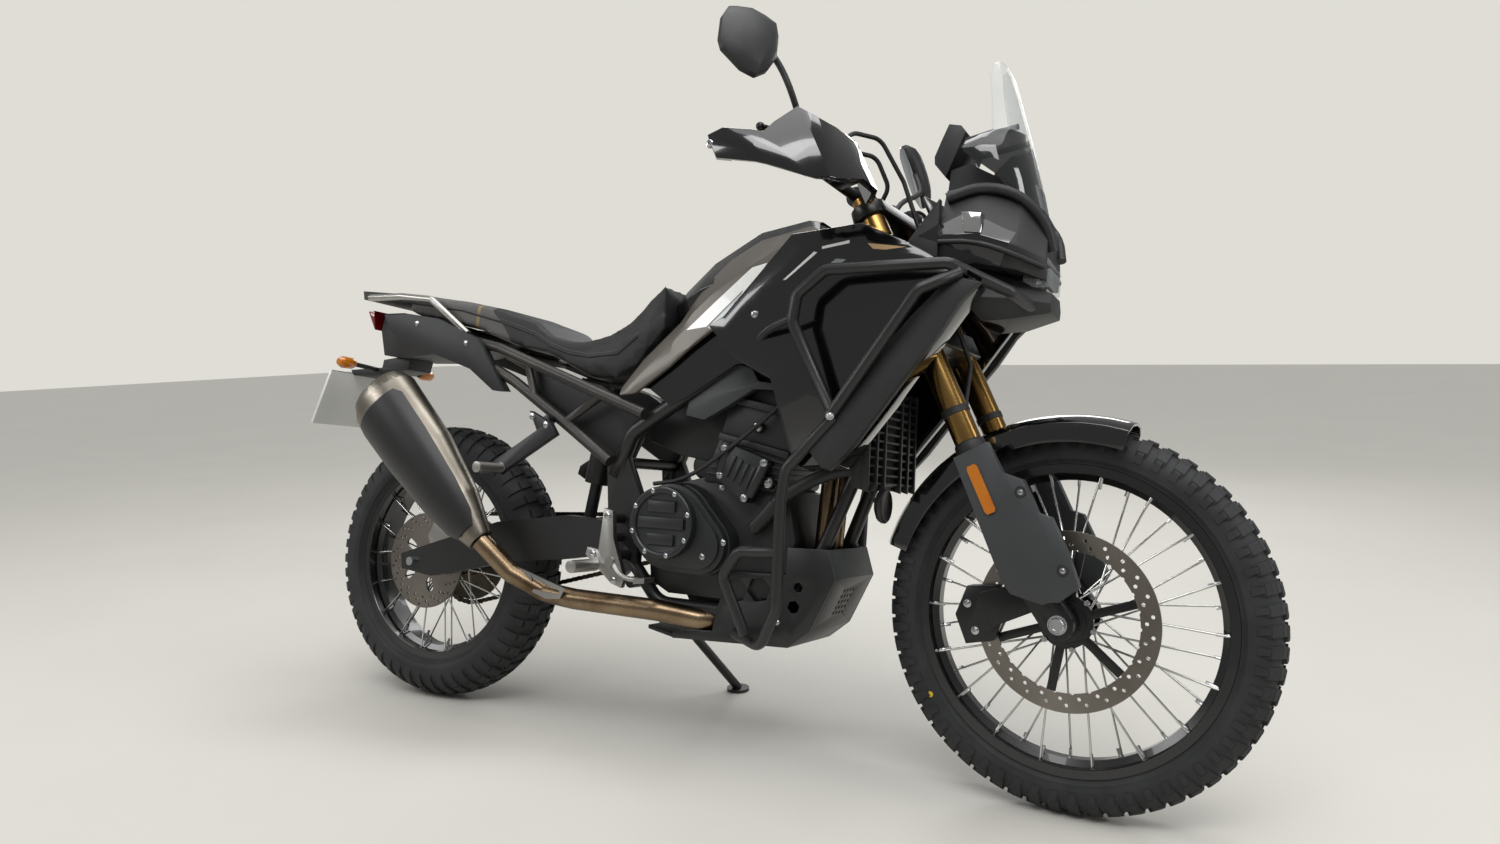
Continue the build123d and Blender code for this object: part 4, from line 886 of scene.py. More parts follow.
def covers(bm):
    """The side covers with their lids, and a ribbed cover on each side of the barrel."""
    for side, first, second, near, far in COVERS:
        prism(bm, round_hull(first, second, 4), side * (near - 1), side * (far - 8))
        prism(bm, round_hull(first, second, 14), side * (far - 9), side * far)
    start, end = LID_SPAN
    for side, x, z, radius, _, _, _ in LIDS:
        lathe(bm, PARKED @ Matrix.Translation((x, 0, z)),
            [(radius, side * start), (radius, side * (end - 3)), (radius - 3, side * end),
            (radius - 11, side * end), (radius - 14, side * (end - 3)), (radius - 15, side * (end - 8)),
            (0, side * (end - 8))], 56)
    # bars inside the right lid
    _, x, z, *_ = LIDS[0]
    for low, high in ((-44, -22), (-11, 11), (22, 44)):
        reach = sqrt(54**2 - max(low**2, high**2))
        prism(bm, [(x - reach, z + low), (x + reach, z + low), (x + reach, z + high), (x - reach, z + high)],
            -185, -179)
    for side in (-1, 1):
        prism(bm, [(819, 566), (888, 520), (934, 607), (832, 641)], side * 103, side * 134)
        for foot, top in (((823, 578), (838, 640)), ((893, 534), (926, 606))):
            tube(bm, [(foot[0], side * 128, foot[1]), (top[0], side * 128, top[1])], 11, sides=16)
        for n in range(4):
            x, z = 838 + 15 * n, 572 - 7 * n
            prism(bm, [(x, z), (x + 6, z - 2.6), (x + 26, z + 40), (x + 20, z + 43)], side * 133, side * 137)


def core(bm):
    """The radiator with its frame and slats."""
    prism(bm, [(1112, 770), (1132, 764), (1134, 560), (1112, 564)], -140, 140)
    for y in (-140, -94, -48, 48, 94, 140):
        prism(bm, [(1132, 766), (1146, 762), (1148, 556), (1134, 560)], y - 4, y + 4)
    for n in range(12):
        z = 568 + 16.5 * n
        prism(bm, [(1134, z), (1144, z + 4), (1144, z + 8), (1134, z + 4)], -140, 140)


def bash(bm):
    """The bent bash plate with its sides."""
    prism(bm, [(1060, 440), (1078, 384), (1030, 280), (985, 243), (722, 232), (660, 244), (660, 252),
        (722, 240), (982, 251), (1022, 284), (1069, 384), (1052, 438)], -103.5, 103.5)
    slabs(bm, [(1060, 440), (1078, 384), (1030, 280), (985, 243), (722, 232), (722, 246), (815, 256),
        (822, 300), (850, 380), (974, 384), (974, 438)], 103, 108)


PLATE_RUN = Vector((1030 - 1078, 0, 280 - 384)).normalized()
PLATE_OUT = PLATE_RUN.cross(Vector((0, 1, 0)))


def bash_holes(bm):
    """The six-sided windows in its sides and the rows of holes in its front."""
    for x, z, reach in ((864, 344, 26), (916, 350, 26), (993, 323, 13), (1001, 362, 10)):
        prism(bm,
            [(x + reach * cos(t), z + reach * sin(t)) for t in (radians(12 + 60 * n) for n in range(6))],
            -120, 120)
    for row in range(5):
        at = Vector((1078, 0, 384)) + PLATE_RUN * (30 + 13 * row)
        for y in (-24, -8, 8, 24):
            spot = at + Vector((0, y, 0))
            tube(bm, [spot + PLATE_OUT * 20, spot - PLATE_OUT * 20], 4, sides=10)


# In the fork's frame: the bar's outer run, a hand guard from above and from the side, a mirror from behind
BAR_PATH = ((2, 190, 1306), (-60, 440, 1326))
GUARD_PLAN = ((-78, 446), (-70, 462), (6, 454), (84, 402), (116, 330), (112, 262), (78, 214), (70, 220),
    (100, 266), (104, 326), (74, 390), (2, 442), (-50, 448), (-52, 441))
GUARD_SIDE = ((-95, 1335), (-90, 1300), (-12, 1245), (60, 1180), (90, 1168), (130, 1168), (135, 1190),
    (110, 1275), (80, 1315), (40, 1300), (20, 1288), (-40, 1330))
MIRROR = ((-9, 1562), (35, 1564), (66, 1550), (89, 1532), (79, 1497), (56, 1456), (21, 1425), (-10, 1412),
    (-37, 1425), (-63, 1466), (-60, 1487), (-32, 1539))


def along_bar(share, side):
    """A point at this share of the bar's outer run."""
    (a, s, u), (b, t, v) = BAR_PATH
    return Vector((a + (b - a) * share, side * (s + (t - s) * share), u + (v - u) * share))


def guards(bm):
    """The hand guards as seen from above, taller than they are."""
    for side in (-1, 1):
        skinned(bm, FORK, [[(n, side * s, t) for n, s in GUARD_PLAN] for t in (1120, 1360)])


def guards_outline(bm):
    """The guards' outline from the side, right through."""
    for side in (-1, 1):
        skinned(bm, FORK, [[(n, side * s, t) for n, t in GUARD_SIDE] for s in (150, 500)])


def controls(bm):
    """Grips' clamps, brake and clutch levers and the brake's reservoir."""
    for side in (-1, 1):
        tube(bm, [along_bar(0.2, side), along_bar(0.38, side)], 19, sides=24, base=FORK)
        a, c = along_bar(0.16, side), along_bar(0.9, side)
        tube(bm, [a, a + Vector((40, side * 10, -6))], 9, base=FORK)
        tube(bm, rounded([a + Vector((36, side * -6, -6)), a + Vector((62, side * 40, -8)),
            c + Vector((62, 0, -8))], 2), 5.5, sides=12, base=FORK)
        lathe(bm, FORK @ Matrix.Translation(c + Vector((62, 0, -8))), [(0, -8), (6, -6), (8, 0), (6, 6),
            (0, 8)], 12)
    prism(bm, [(28, 1243), (78, 1233), (94, 1252), (86, 1280), (54, 1290), (24, 1286)], -236, -184, base=FORK)
    prism(bm, [(30, 1286), (82, 1280), (84, 1285), (32, 1292)], -238, -182, base=FORK)
    prism(bm, [(20, 1270), (44, 1262), (54, 1282), (30, 1296)], 190, 232, base=FORK)
    tube(bm, [(40, -206, 1284), (14, -206, 1302)], 10, base=FORK)


def mirror_heads(bm):
    """Mirrors on their stalks."""
    for side in (-1, 1):
        drop = 46 if side > 0 else 0
        foot = along_bar(0.1, side)
        tube(bm, rounded([foot, (20, side * 244, 1345), (52, side * 314, 1386 - drop / 2),
            (56, side * 323, 1440 - drop), (54, side * 338, 1474 - drop)], 2), 6, sides=14, base=FORK)
        tube(bm, [foot - Vector((0, 0, 14)), foot + Vector((0, 0, 24))], 15, sides=20, base=FORK)
        yaw = radians(23)
        across = Vector((sin(yaw), -side * cos(yaw), 0))
        ahead = Vector((cos(yaw), side * sin(yaw), 0))
        rings = []
        for depth, size in ((0, 0.97), (3, 1.0), (13, 1.0), (27, 0.84), (36, 0.55)):
            centre = Vector((27, side * 390, -drop)) + ahead * depth
            rings.append([centre + across * (12 + (a - 12) * size) + Vector((0, 0, 1490 + (t - 1490) * size))
                for a, t in MIRROR])
        skinned(bm, FORK, rings)


def shroud_trim(bm):
    """The raised strip along the lower edge of each side panel."""
    pad_form(bm, STRIP, 206, 228, 5)


def shroud():
    """The hollow side panels: pads with their middle cut out, their rail left standing."""
    whole = drawn(lambda bm: pad_form(bm, SHROUD, 150, 206, 10))
    return clear_of_fork(cut(whole, drawn(lambda bm: pad_form(bm, SHROUD_IN, 120, 190, 6))))


# ---- Wheels ----
TYRE_R, CROWN_R, RIM_R, RIM_HALF = (350, 330), (46, 68), (279, 239), (35, 49)
SPOKES_FROM_R = 43.5
LUG_H, SPOKES, TURNED_STEPS = 7, 36, 112
# The share of a block's height that the casing lies under the crown
CASING_DEPTH = 0.6
# The paint dot's degrees round the wheel, distance from the axle, and share of the casing's half width
TYRE_DOT = ((214, 303, 0.985), (206, 262, 0.975))
OWN = Matrix.Identity(4)


def carcass(bm, outer, crown, rim, rim_half):
    """A tyre's round casing, from bead to bead and back inside, with a rib round each side."""
    hip, bead, body = outer - crown, rim_half - 4, crown - LUG_H * CASING_DEPTH
    top = crown - LUG_H
    side = [(rim - 8, bead), (rim + 2, bead), (rim + 5, bead + (body - bead) * 0.45),
        (rim + 9, bead + (body - bead) * 0.62), (rim + 10.5, bead + (body - bead) * 0.78),
        (rim + 13, bead + (body - bead) * 0.78), (hip - 6, body * 0.985)]
    arch = [(hip + top * sin(t), body * cos(t)) for t in (n * pi / 24 for n in range(0, 13))]
    half = side + arch
    out = half + [(r, -y) for r, y in reversed(half[:-1])]
    inner = [(max(r - 9, rim - 8), y * 0.86) for r, y in reversed(out[1:-1])]
    lathe(bm, OWN, out + inner, TURNED_STEPS, closed=True)


def block(bm, hip, crown, low, high, start, end, start_far, end_far, cut=0.0):
    """A tread block in mm, across the crown from low to high. Round the wheel it runs from start to end at
    low and from start_far to end_far at high, in degrees. cut is the depth of a slot across its top."""
    shares = (0, 0.34, 0.38, 0.62, 0.66, 1) if cut else (0, 0.5, 1)
    rows = []
    for n, share in enumerate(shares):
        y = low + (high - low) * share
        a, b = (radians(p + (q - p) * share) for p, q in ((start, start_far), (end, end_far)))
        tip = hip + sqrt(max(crown**2 - y**2, 0)) - (cut if cut and n in (2, 3) else 0)
        root = hip + sqrt(max((crown - LUG_H - 3)**2 - y**2, 0)) if abs(y) < crown - LUG_H - 3 else hip
        draft = radians(0.28)
        rows.append([bm.verts.new((r * cos(t), y, r * sin(t))) for r, t in ((root, a - draft), (tip, a),
            (tip, b), (root, b + draft))])
    for near, far in zip(rows, rows[1:]):
        joined(bm, near, far, closed=False)
    bm.faces.new(rows[0])
    bm.faces.new(rows[-1])


# Each wheel. Columns: name, place, index of its sizes, blocks round it, then its blocks: low y, high y, start
# and end angle at low and at high as shares of the pitch, slot depth
TREADS = (
    ("front", FRONT_WHEEL, 0, 60, ((-14, 12, 0.04, 0.60, 0.16, 0.72, 2.2),
    (17, 40, 0.30, 0.84, 0.24, 0.80, 1.6), (-40, -17, 0.24, 0.78, 0.30, 0.84, 1.6),
    (41, 43.4, 0.36, 0.70, 0.38, 0.68, 0), (-43.4, -41, 0.36, 0.70, 0.38, 0.68, 0))),
    ("rear", REAR_WHEEL, 1, 52, ((-20, 18, 0.02, 0.58, 0.16, 0.72, 2.4),
    (24, 44, 0.34, 0.90, 0.28, 0.84, 1.8), (48, 63, 0.30, 0.80, 0.26, 0.76, 0),
    (-44, -24, 0.28, 0.84, 0.34, 0.90, 1.8), (-63, -48, 0.26, 0.76, 0.30, 0.80, 0))),
)
for end, place, n, count, cuts in TREADS:
    outer, crown = TYRE_R[n], CROWN_R[n]
    casing = bmesh.new()
    carcass(casing, outer, crown, RIM_R[n], RIM_HALF[n])
    casing.transform(place)
    made(end + "_tyre_casing", casing, end + "_wheel", (TYRE_RUBBER,), "tyre_rubber",
        stands_for=(end + "_tyre",), angle=40)
    unit = bmesh.new()
    pitch = 360 / count
    for low, high, a, b, c, d, slot in cuts:
        block(unit, outer - crown, crown - 0.2, low, high, a * pitch, b * pitch, c * pitch, d * pitch, slot)
    around(end + "_tread", unit, place, count, end + "_wheel", TYRE_RUBBER, "tyre_rubber")

    # The rim again as a round turning, as its CAD piece is
    radius, half = RIM_R[n], RIM_HALF[n]
    seat, shelf = radius - 11.3, half * 0.5
    well = shelf - 6
    out = [(radius, half), (radius, half - 4), (seat, half - 4), (seat, shelf), (seat - 12, well)]
    inner = [(seat - 17.5, well), (seat - 5.5, shelf), (seat - 5.5, half - 1.4), (seat - 4.2, half)]
    rim = bmesh.new()
    lathe(rim, place, out + [(r, -y) for r, y in reversed(out)] + [(r, -y) for r, y in reversed(inner)]
        + inner, TURNED_STEPS, closed=True)
    made(end + "_rim_turned", rim, end + "_wheel", (RIM_BLACK,), "rim_black", stands_for=(end + "_rim",),
        angle=24)

    # A dot of paint that marks the tyre's light side
    dot = bmesh.new()
    turn, r, share = TYRE_DOT[n]
    spot = (r * cos(radians(turn)), -(crown - LUG_H * CASING_DEPTH) * share, r * sin(radians(turn)))
    lathe(dot, place @ Matrix.Translation(spot), [(0, -0.8), (5.4, -0.8), (6, 3)], 16)
    made(end + "_tyre_dot", dot, end + "_wheel", (DOT_YELLOW,), "tyre_rubber")

    # Spoke nipples, two to a unit, one each side
    unit = bmesh.new()
    step = 2 * pi / SPOKES
    for k, side in ((0, -1), (1, 1)):
        turn = Matrix.Rotation(-k * step, 4, "Y")
        lean = Matrix.Translation((radius - 34, side * (shelf - 4), 0)) @ Matrix.Rotation(radians(-90), 4,
            "Z")
        lathe(unit, turn @ lean, [(3.1, -6), (3.1, 7), (3.6, 8), (3.6, 17)], 8)
    around(end + "_nipples", unit, place, SPOKES // 2, end + "_wheel", ZINC, "spoke_steel")

# Hubs with black flanges and bright spokes
for end, base in (("front", FRONT_WHEEL), ("rear", REAR_WHEEL)):
    dressed(end + "_hub", 0, (RIM_BLACK, SPOKE_STEEL), base=base,
        pick=lambda at, _: int(sqrt(at.x**2 + at.z**2) > SPOKES_FROM_R))
DRILL_REACH = 14
# Brake discs, drilled right through. Columns: node, place, y of its middle, hole radius, circles, holes on
# each circle
for node, base, y, hole, circles, count in (("front_disc", FRONT_WHEEL, -63, 3.6, (125, 136, 147), 26),
        ("rear_disc", REAR_WHEEL, -74, 3.2, (88, 97, 106), 20)):
    drills = bmesh.new()
    for row, circle in enumerate(circles):
        for n in range(count):
            t = 2 * pi * (n + row / 3) / count
            x, z = circle * cos(t), circle * sin(t)
            tube(drills, [(x, y - DRILL_REACH, z), (x, y + DRILL_REACH, z)], hole, base=base)
    dressed(node, 0, data=cut(welded(node), mesh_of("drills", drills)))
# The carrier's arms are bright where they meet the disc
dressed("disc_carrier", 0.5, (LEG_BLACK, ZINC), base=FRONT_WHEEL,
    pick=lambda at, _: int(110 < sqrt(at.x**2 + at.z**2) < 129))

# The disc carrier's bolts, the speed ring's teeth and the axle nuts
unit = bmesh.new()
lathe(unit, Matrix.Translation((50, -63.4, 0)), [(0, -4.4), (2.2, -4.4), (2.4, -1.6), (4.6, -1.6), (5.4, 0),
    (5.4, 5)], 12)
around("carrier_bolts", unit, FRONT_WHEEL, 6, "front_wheel", ZINC, "spoke_steel", phase=radians(15))
unit = bmesh.new()
prism(unit, [(33, -2.4), (39.5, -1.6), (39.5, 1.6), (33, 2.4)], -56, -50, base=OWN)
around("speed_ring", unit, FRONT_WHEEL, 44, "front_wheel", SILVER_ALUMINIUM, "disc_steel")
# Columns: name, frame, y of its foot, body, sides
for name, base, y, body, sides in (("front_axle_nut", FRONT_WHEEL, -132.5, "steering", 24),
        ("rear_axle_nut", REAR_WHEEL, -118, "chassis", 6)):
    nut = bmesh.new()
    lathe(nut, base, [(0, y + 1), (7, y + 1), (8, y - 1.5), (12, y - 1.5), (13.2, y), (13.2, y + 8),
        (17, y + 8), (17, y + 11), (9, y + 11)], sides)
    made(name, nut, body, (ZINC,), "axle_steel")

# Chain: an inner and an outer link to a unit, with its rollers and pins
CHAIN_Y, LINK_PITCH, CHAIN_STEPS = 84, 15.875, 32
REAR_TEETH, FRONT_TEETH = 42, 14
REAR_PITCH_R, FRONT_PITCH_R = (LINK_PITCH / 2 / sin(pi / teeth) for teeth in (REAR_TEETH, FRONT_TEETH))
SPROCKET_X, SPROCKET_Z, REAR_AXLE_Z = 650, 440, 330


def chain_run(grow):
    """Points round both sprockets at this distance outside the pitch circle."""
    apart = sqrt(SPROCKET_X**2 + (SPROCKET_Z - REAR_AXLE_Z)**2)
    rise = atan2(SPROCKET_Z - REAR_AXLE_Z, SPROCKET_X)
    spread = pi / 2 - atan2(REAR_PITCH_R - FRONT_PITCH_R, apart)
    points = []
    for cx, cz, r, first, last in ((SPROCKET_X, SPROCKET_Z, FRONT_PITCH_R, rise - spread, rise + spread),
            (0, REAR_AXLE_Z, REAR_PITCH_R, rise + spread, rise - spread + 2 * pi)):
        for n in range(CHAIN_STEPS + 1):
            t = first + (last - first) * n / CHAIN_STEPS
            points.append((cx + (r + grow) * cos(t), CHAIN_Y, cz + (r + grow) * sin(t)))
    return points


def plate(bm, middle, y, thick):
    """A waisted side plate of one link."""
    half = LINK_PITCH / 2
    outline = [(middle + a, b) for a, b in ((-half - 5, 0), (-half - 3.6, 4.2), (-half, 5.4), (0, 4.0),
        (half, 5.4), (half + 3.6, 4.2), (half + 5, 0), (half + 3.6, -4.2), (half, -5.4), (0, -4.0),
        (-half, -5.4), (-half - 3.6, -4.2))]
    prism(bm, outline, y, y + thick, base=OWN)


link = bmesh.new()
for y in (-4.4, 3.0):
    plate(link, 0, y, 1.4)
for y in (-6.2, 4.8):
    plate(link, LINK_PITCH, y, 1.4)
for x in (-LINK_PITCH / 2, LINK_PITCH / 2):
    for radius, reach in ((4.2, 3.0), (2.2, 6.9)):
        lathe(link, Matrix.Translation((x, 0, 0)), [(0, -reach), (radius, -reach), (radius, reach),
            (0, reach)], 10)
link_mesh = mesh_of("link", link)
for vertex in link_mesh.vertices:
    vertex.co.x -= LINK_PITCH / 2
unit = linked(link_mesh)
points = chain_run(6.2)
run = bpy.data.meshes.new("run")
run.from_pydata(points, [(n, (n + 1) % len(points)) for n in range(len(points))], [])
length = sum((Vector(a) - Vector(b)).length for a, b in zip(points, points[1:] + points[:1]))
chain_mesh = grown(run, ALONG, PARKED, {"Count": round(length / (2 * LINK_PITCH)), "Unit": unit,
    "Finish": CHAIN_STEEL})
bpy.data.objects.remove(unit)
placed("chain_links", chain_mesh, "chassis", (), "chain_steel", stands_for=("chain",))

# ---- Seat ----
SEAT_REAR = [(-150, 780), (240, 780), (240, 844), (228, 873), (205, 904), (177, 930), (168, 1010),
    (-150, 1010)]
SEAT_RIBBON = [(125, 880), (133, 880), (146, 1010), (134, 1010)]
# The cushion's remesh, smoothing and shrinking
SEAT_VOXEL, SEAT_SOFTEN, SEAT_SHRINK = 6 * MM, (0.5, 7), 2.5 * MM
# Its cloth: quality, pressure, stiffness, frames, and how far it may swell
SEAT_QUALITY, SEAT_PRESSURE, SEAT_STIFFNESS, SEAT_FRAMES, SEAT_CAP = 4, 4, 40, 20, 4 * MM


def seat_cushion():
    """The seat's solid remeshed, softened and let swell as cloth under pressure, no further than its cap."""
    data = welded("seat")
    holder = linked(data)
    voxels = holder.modifiers.new("voxels", "REMESH")
    voxels.mode, voxels.voxel_size = "VOXEL", SEAT_VOXEL
    soften = holder.modifiers.new("soften", "SMOOTH")
    soften.factor, soften.iterations = SEAT_SOFTEN
    data = taken(holder)
    start = [v.co - v.normal * SEAT_SHRINK for v in data.vertices]
    for vertex, place in zip(data.vertices, start):
        vertex.co = place
    pinned = linked(data)
    cloth = pinned.modifiers.new("cloth", "CLOTH")
    cloth.settings.quality = SEAT_QUALITY
    cloth.settings.use_pressure = True
    cloth.settings.uniform_pressure_force = SEAT_PRESSURE
    cloth.settings.tension_stiffness = cloth.settings.compression_stiffness = SEAT_STIFFNESS
    cloth.settings.effector_weights.gravity = 0
    cloth.collision_settings.use_collision = False
    scene = bpy.context.scene
    for step in range(SEAT_FRAMES):
        scene.frame_set(step + 1)
    swollen = taken(pinned)
    scene.frame_set(1)
    for vertex, place in zip(swollen.vertices, start):
        move = vertex.co - place
        vertex.co = place + move * min(1, SEAT_CAP / max(move.length, SPECK))
    data = swollen
    holder = linked(data)
    finer = holder.modifiers.new("finer", "SUBSURF")
    finer.levels = finer.render_levels = 1
    data = taken(holder)
    bm = opened(data)
    inlaid(bm, PARKED, SEAT_REAR, 1)
    inlaid(bm, PARKED, SEAT_RIBBON, 2)
    return shut("seat_cushion", bm)


cushion = placed("seat_cushion", seat_cushion(), "chassis", (SEAT_BLACK, SEAT_GREY, SEAT_GOLD), "seat_cover",
    stands_for=("seat",), angle=80)

# Piping along the widest line of the seat with a row of stitches above it. Columns: x, z
SEAT_SEAM = ((-80, 957), (0, 946), (81, 935), (202, 905), (305, 873), (352, 847), (414, 827), (470, 819),
    (548, 825), (600, 865))
STITCH_LIFT, STITCH_PITCH, SEAM_STEPS, SEAT_CLEAR = 7, 9, 12, 300
PIPING_R, STITCH_R, STITCH_HALF = 2.4, 0.7, 3.2
cushion_tree = ray_tree(cushion.data)
piping = bmesh.new()
stitch = bmesh.new()
tube(stitch, [(x, 0, 0) for x in (-STITCH_HALF, 0, STITCH_HALF)], STITCH_R, sides=6, base=OWN)
unit = linked(mesh_of("stitch", stitch))
for side, hand in HANDS:
    rows = {}
    inward = (PARKED.to_3x3() @ Vector((0, -side, 0))).normalized()
    for lift in (0, STITCH_LIFT):
        run = []
        for (x0, z0), (x1, z1) in zip(SEAT_SEAM, SEAT_SEAM[1:]):
            for n in range(SEAM_STEPS):
                x, z = x0 + (x1 - x0) * n / SEAM_STEPS, z0 + (z1 - z0) * n / SEAM_STEPS + lift
                place, _, _, _ = cushion_tree.ray_cast(PARKED @ Vector((x, side * SEAT_CLEAR, z)), inward)
                if place is not None:
                    run.append(PARKED.inverted() @ place)
        rows[lift] = run
    tube(piping, rows[0], PIPING_R, sides=8)
    path = bpy.data.meshes.new("path")
    run = rows[STITCH_LIFT]
    path.from_pydata(run, [(n, n + 1) for n in range(len(run) - 1)], [])
    span = sum((a - b).length for a, b in zip(run, run[1:]))
    sewn = grown(path, ALONG, PARKED, {"Count": int(span / STITCH_PITCH), "Unit": unit, "Finish": THREAD})
    placed("seat_stitches_" + hand, sewn, "chassis", (), "seat_cover")
bpy.data.objects.remove(unit)
made("seat_piping", piping, "chassis", (SEAT_BLACK,), "seat_cover")

# ---- Bodywork with its film graphics. Outlines in x and z ----
GRAPHIC_WHITE = [(734, 869), (882, 993), (916, 1000), (905, 976), (969, 1008), (982, 1013), (948, 989),
    (906, 953), (871, 920), (851, 904), (866, 947), (785, 874)]
GRAPHIC_SILVER = [(789, 872), (867, 945), (853, 904), (846, 887), (799, 867)]
GRAPHIC_TOP = [(975, 1016), (999, 1026), (1030, 1036), (1042, 1034), (1013, 1024), (983, 1014)]
dressed("tank_panels", 1.2, (METALLIC_GREY, WHITE_FILM, SILVER_FILM, TEXTURED_ABS),
    inlays=(([(590, 700), (760, 700), (1080, 900), (1080, 1020), (960, 1000), (880, 922), (780, 842),
    (690, 770), (600, 722)], 3), (GRAPHIC_SILVER, 2), (GRAPHIC_WHITE, 1), (GRAPHIC_TOP, 1)),
    data=clear_of_fork(drawn(lambda bm: wing_form(bm, TANK_WING, 7))))
SLASH = [(1027, 946), (1048, 943), (1106, 986), (1086, 988)]
dressed("side_fairings", 1.0, (GLOSS_BLACK, SILVER_FILM, WHITE_FILM, TAN_FILM), data=shroud(),
    inlays=((SLASH, 1), ([(978, 952), (984, 952), (1047, 1002), (1040, 1004)], 2),
    ([(1147, 1014), (1223, 1003), (1182, 1000), (1158, 1003)], 3),
    ([(1166, 981), (1244, 973), (1234, 966), (1193, 967)], 2),
    ([(1056, 1008), (1111, 1016), (1111, 1022), (1056, 1013)], 2)))
placed("shroud_trim", eased(drawn(shroud_trim), 1.4), "chassis", (TEXTURED_ABS,), "panel_black")
dressed("fuel_tank", 2.0, data=clear_of_fork(drawn(lambda bm: body_form(bm, TANK))))
cover = bmesh.new()
slabs(cover, TANK_COVER, 78, 136)
placed("tank_side_covers", clear_of_fork(mesh_of("cover", cover)), "chassis", (GLOSS_BLACK,), "gloss_black")
for side, hand in HANDS:
    scoop = drawn(lambda bm: prism(bm, SCOOP, side * 104, side * 126))
    placed("scoop_" + hand, eased(scoop, 1.6), "chassis", (GREY_NYLON,), "panel_black")
dressed("beak", 1.6, data=clear_of_fork(drawn(lambda bm: body_form(bm, BEAK))))
INSET = [(1224, 1036), (1310, 1084), (1378, 1049), (1396, 1042), (1369, 978), (1354, 990)]
dressed("nose_fairing", 1.6, (TEXTURED_ABS, GLOSS_BLACK), inlays=((INSET, 1),),
    data=clear_of_fork(drawn(nose)))
# The screen's foot is smoked on each side of a clear strip
dressed("windscreen", 0, (CLEAR_SHEET, SMOKED_SHEET), pick=lambda at, _: int(at.z < 1252 and abs(at.y) > 34),
    data=cut(drawn(screen), drawn(screen_foot)))
# The display's face towards the rider is glass
dressed("display", 1.2, (TEXTURED_ABS, DISPLAY_GLASS),
    pick=lambda at, way: int(way.x < -0.6 and abs(at.y) < 60), data=drawn(dial))
# The plate is white and the turn lamps' outer ends are amber
dressed("plate_holder", 0.6, (TEXTURED_ABS, PLATE_WHITE, AMBER),
    pick=lambda at, _: 2 if abs(at.y) > 112 and at.x > -300 else int(at.x < -343 and at.z < 791),
    data=drawn(plate_frame))
# The rack is black with bright grab rails outside it
dressed("rear_rack", 1.2, (TEXTURED_ABS, SILVER_ALUMINIUM), pick=lambda at, _: int(abs(at.y) > 97))
# The small lamps outside the main ones are mirrors
dressed("headlamp", 0.8, (LAMP_COVER, REFLECTOR), pick=lambda at, _: int(abs(at.y) > 100), data=drawn(lamps))
brow = bmesh.new()
for side in (-1, 1):
    tube(brow, rounded([(1268, side * 122, 1112), (1330, side * 108, 1136), (1396, side * 88, 1120),
        (1440, side * 62, 1070), (1450, side * 44, 1020)]), 10, sides=14)
    tube(brow, rounded([(1262, side * 146, 1024), (1330, side * 146, 1022), (1396, side * 122, 1000),
        (1442, side * 76, 984)]), 5, sides=12)
made("nose_brow", brow, "chassis", (TEXTURED_ABS,), "panel_black")
neck = drawn(lambda bm: prism(bm, [(1250, 1110), (1256, 1184), (1292, 1194), (1350, 1162), (1352, 1110)],
    -64, 64))
placed("display_neck", clear_of_fork(neck), "chassis", (TEXTURED_ABS,), "panel_black")

# Reflectors behind the lamp glass, with ribs
bowls = bmesh.new()
for low, high, depth in ((996, 1028, 1418), (956, 982, 1424)):
    for side in (-1, 1):
        for n in range(7):
            prism(bowls, [(depth, low), (depth + 9, low + 4), (depth + 9, high - 4), (depth, high)],
                side * (4 + n * 7), side * (9.6 + n * 7))
made("lamp_reflectors", bowls, "chassis", (REFLECTOR,), "lamp_clear")

# ---- Engine, exhaust, frame, fork and bars ----
# Pieces in one finish with a form of their own. Columns: name, how far its edges are broken, what draws it
for name, width, draw in (("tail_fairing", 1.2, tail), ("engine", 1.2, case), ("engine_covers", 1.0, covers),
        ("radiator", 0.4, core), ("hand_controls", 0.8, controls)):
    dressed(name, width, data=drawn(draw))
# CAD pieces in one finish. Columns: how far their edges are broken, their names
for width, names in (
        (0, "main_frame subframe swingarm rear_shock crash_bars engine_guards side_stand exhaust_pipe"),
        (0, "fork_tubes front_axle rear_axle handlebar grips control_cables"), (0.4, "rear_sprocket"),
        (0.6, "front_fender tail_lamp"), (0.8, "fork_legs"), (1.0, "side_panels triple_clamps fork_guards"),
        (1.2, "front_caliper"),
):
    for name in names.split():
        dressed(name, width)
# The bash plate's top edge is a grey moulding
dressed("skid_plate", 0.8, (TUBE_BLACK, GREY_NYLON), pick=lambda at, _: int(at.z > 386),
    data=cut(drawn(bash), drawn(bash_holes)))
airbox = drawn(
    lambda bm: prism(bm, [(612, 640), (690, 612), (772, 600), (800, 650), (822, 730), (760, 764), (650, 744),
    (606, 700)], -66, 66))
placed("airbox", eased(airbox, 4), "chassis", (TEXTURED_ABS,), "panel_black")
horn = bmesh.new()
at = PARKED @ Matrix.Translation((1148, -60, 531)) @ Matrix.Rotation(radians(90), 4, "Z")
lathe(horn, at, [(0, 10), (18, 10), (30, 4), (34, -2), (34, -8), (31, -11), (28, -9), (12, -7), (0, -7)], 36)
tube(horn, rounded([(1136, -60, 536), (1126, -60, 550), (1122, -60, 580)]), 4)
made("horn", horn, "chassis", (TUBE_BLACK,), "cover_black")
pipes = bmesh.new()
tube(pipes, rounded([(949, -122, 524), (1000, -124, 560), (1060, -112, 590), (1118, -104, 602)]), 13,
    sides=18)
tube(pipes, rounded([(681, -150, 548), (760, -152, 560), (860, -134, 640), (950, -118, 720),
    (1010, -112, 800)]), 4.5)
made("hoses", pipes, "chassis", (SOFT_RUBBER,), "hose_rubber")
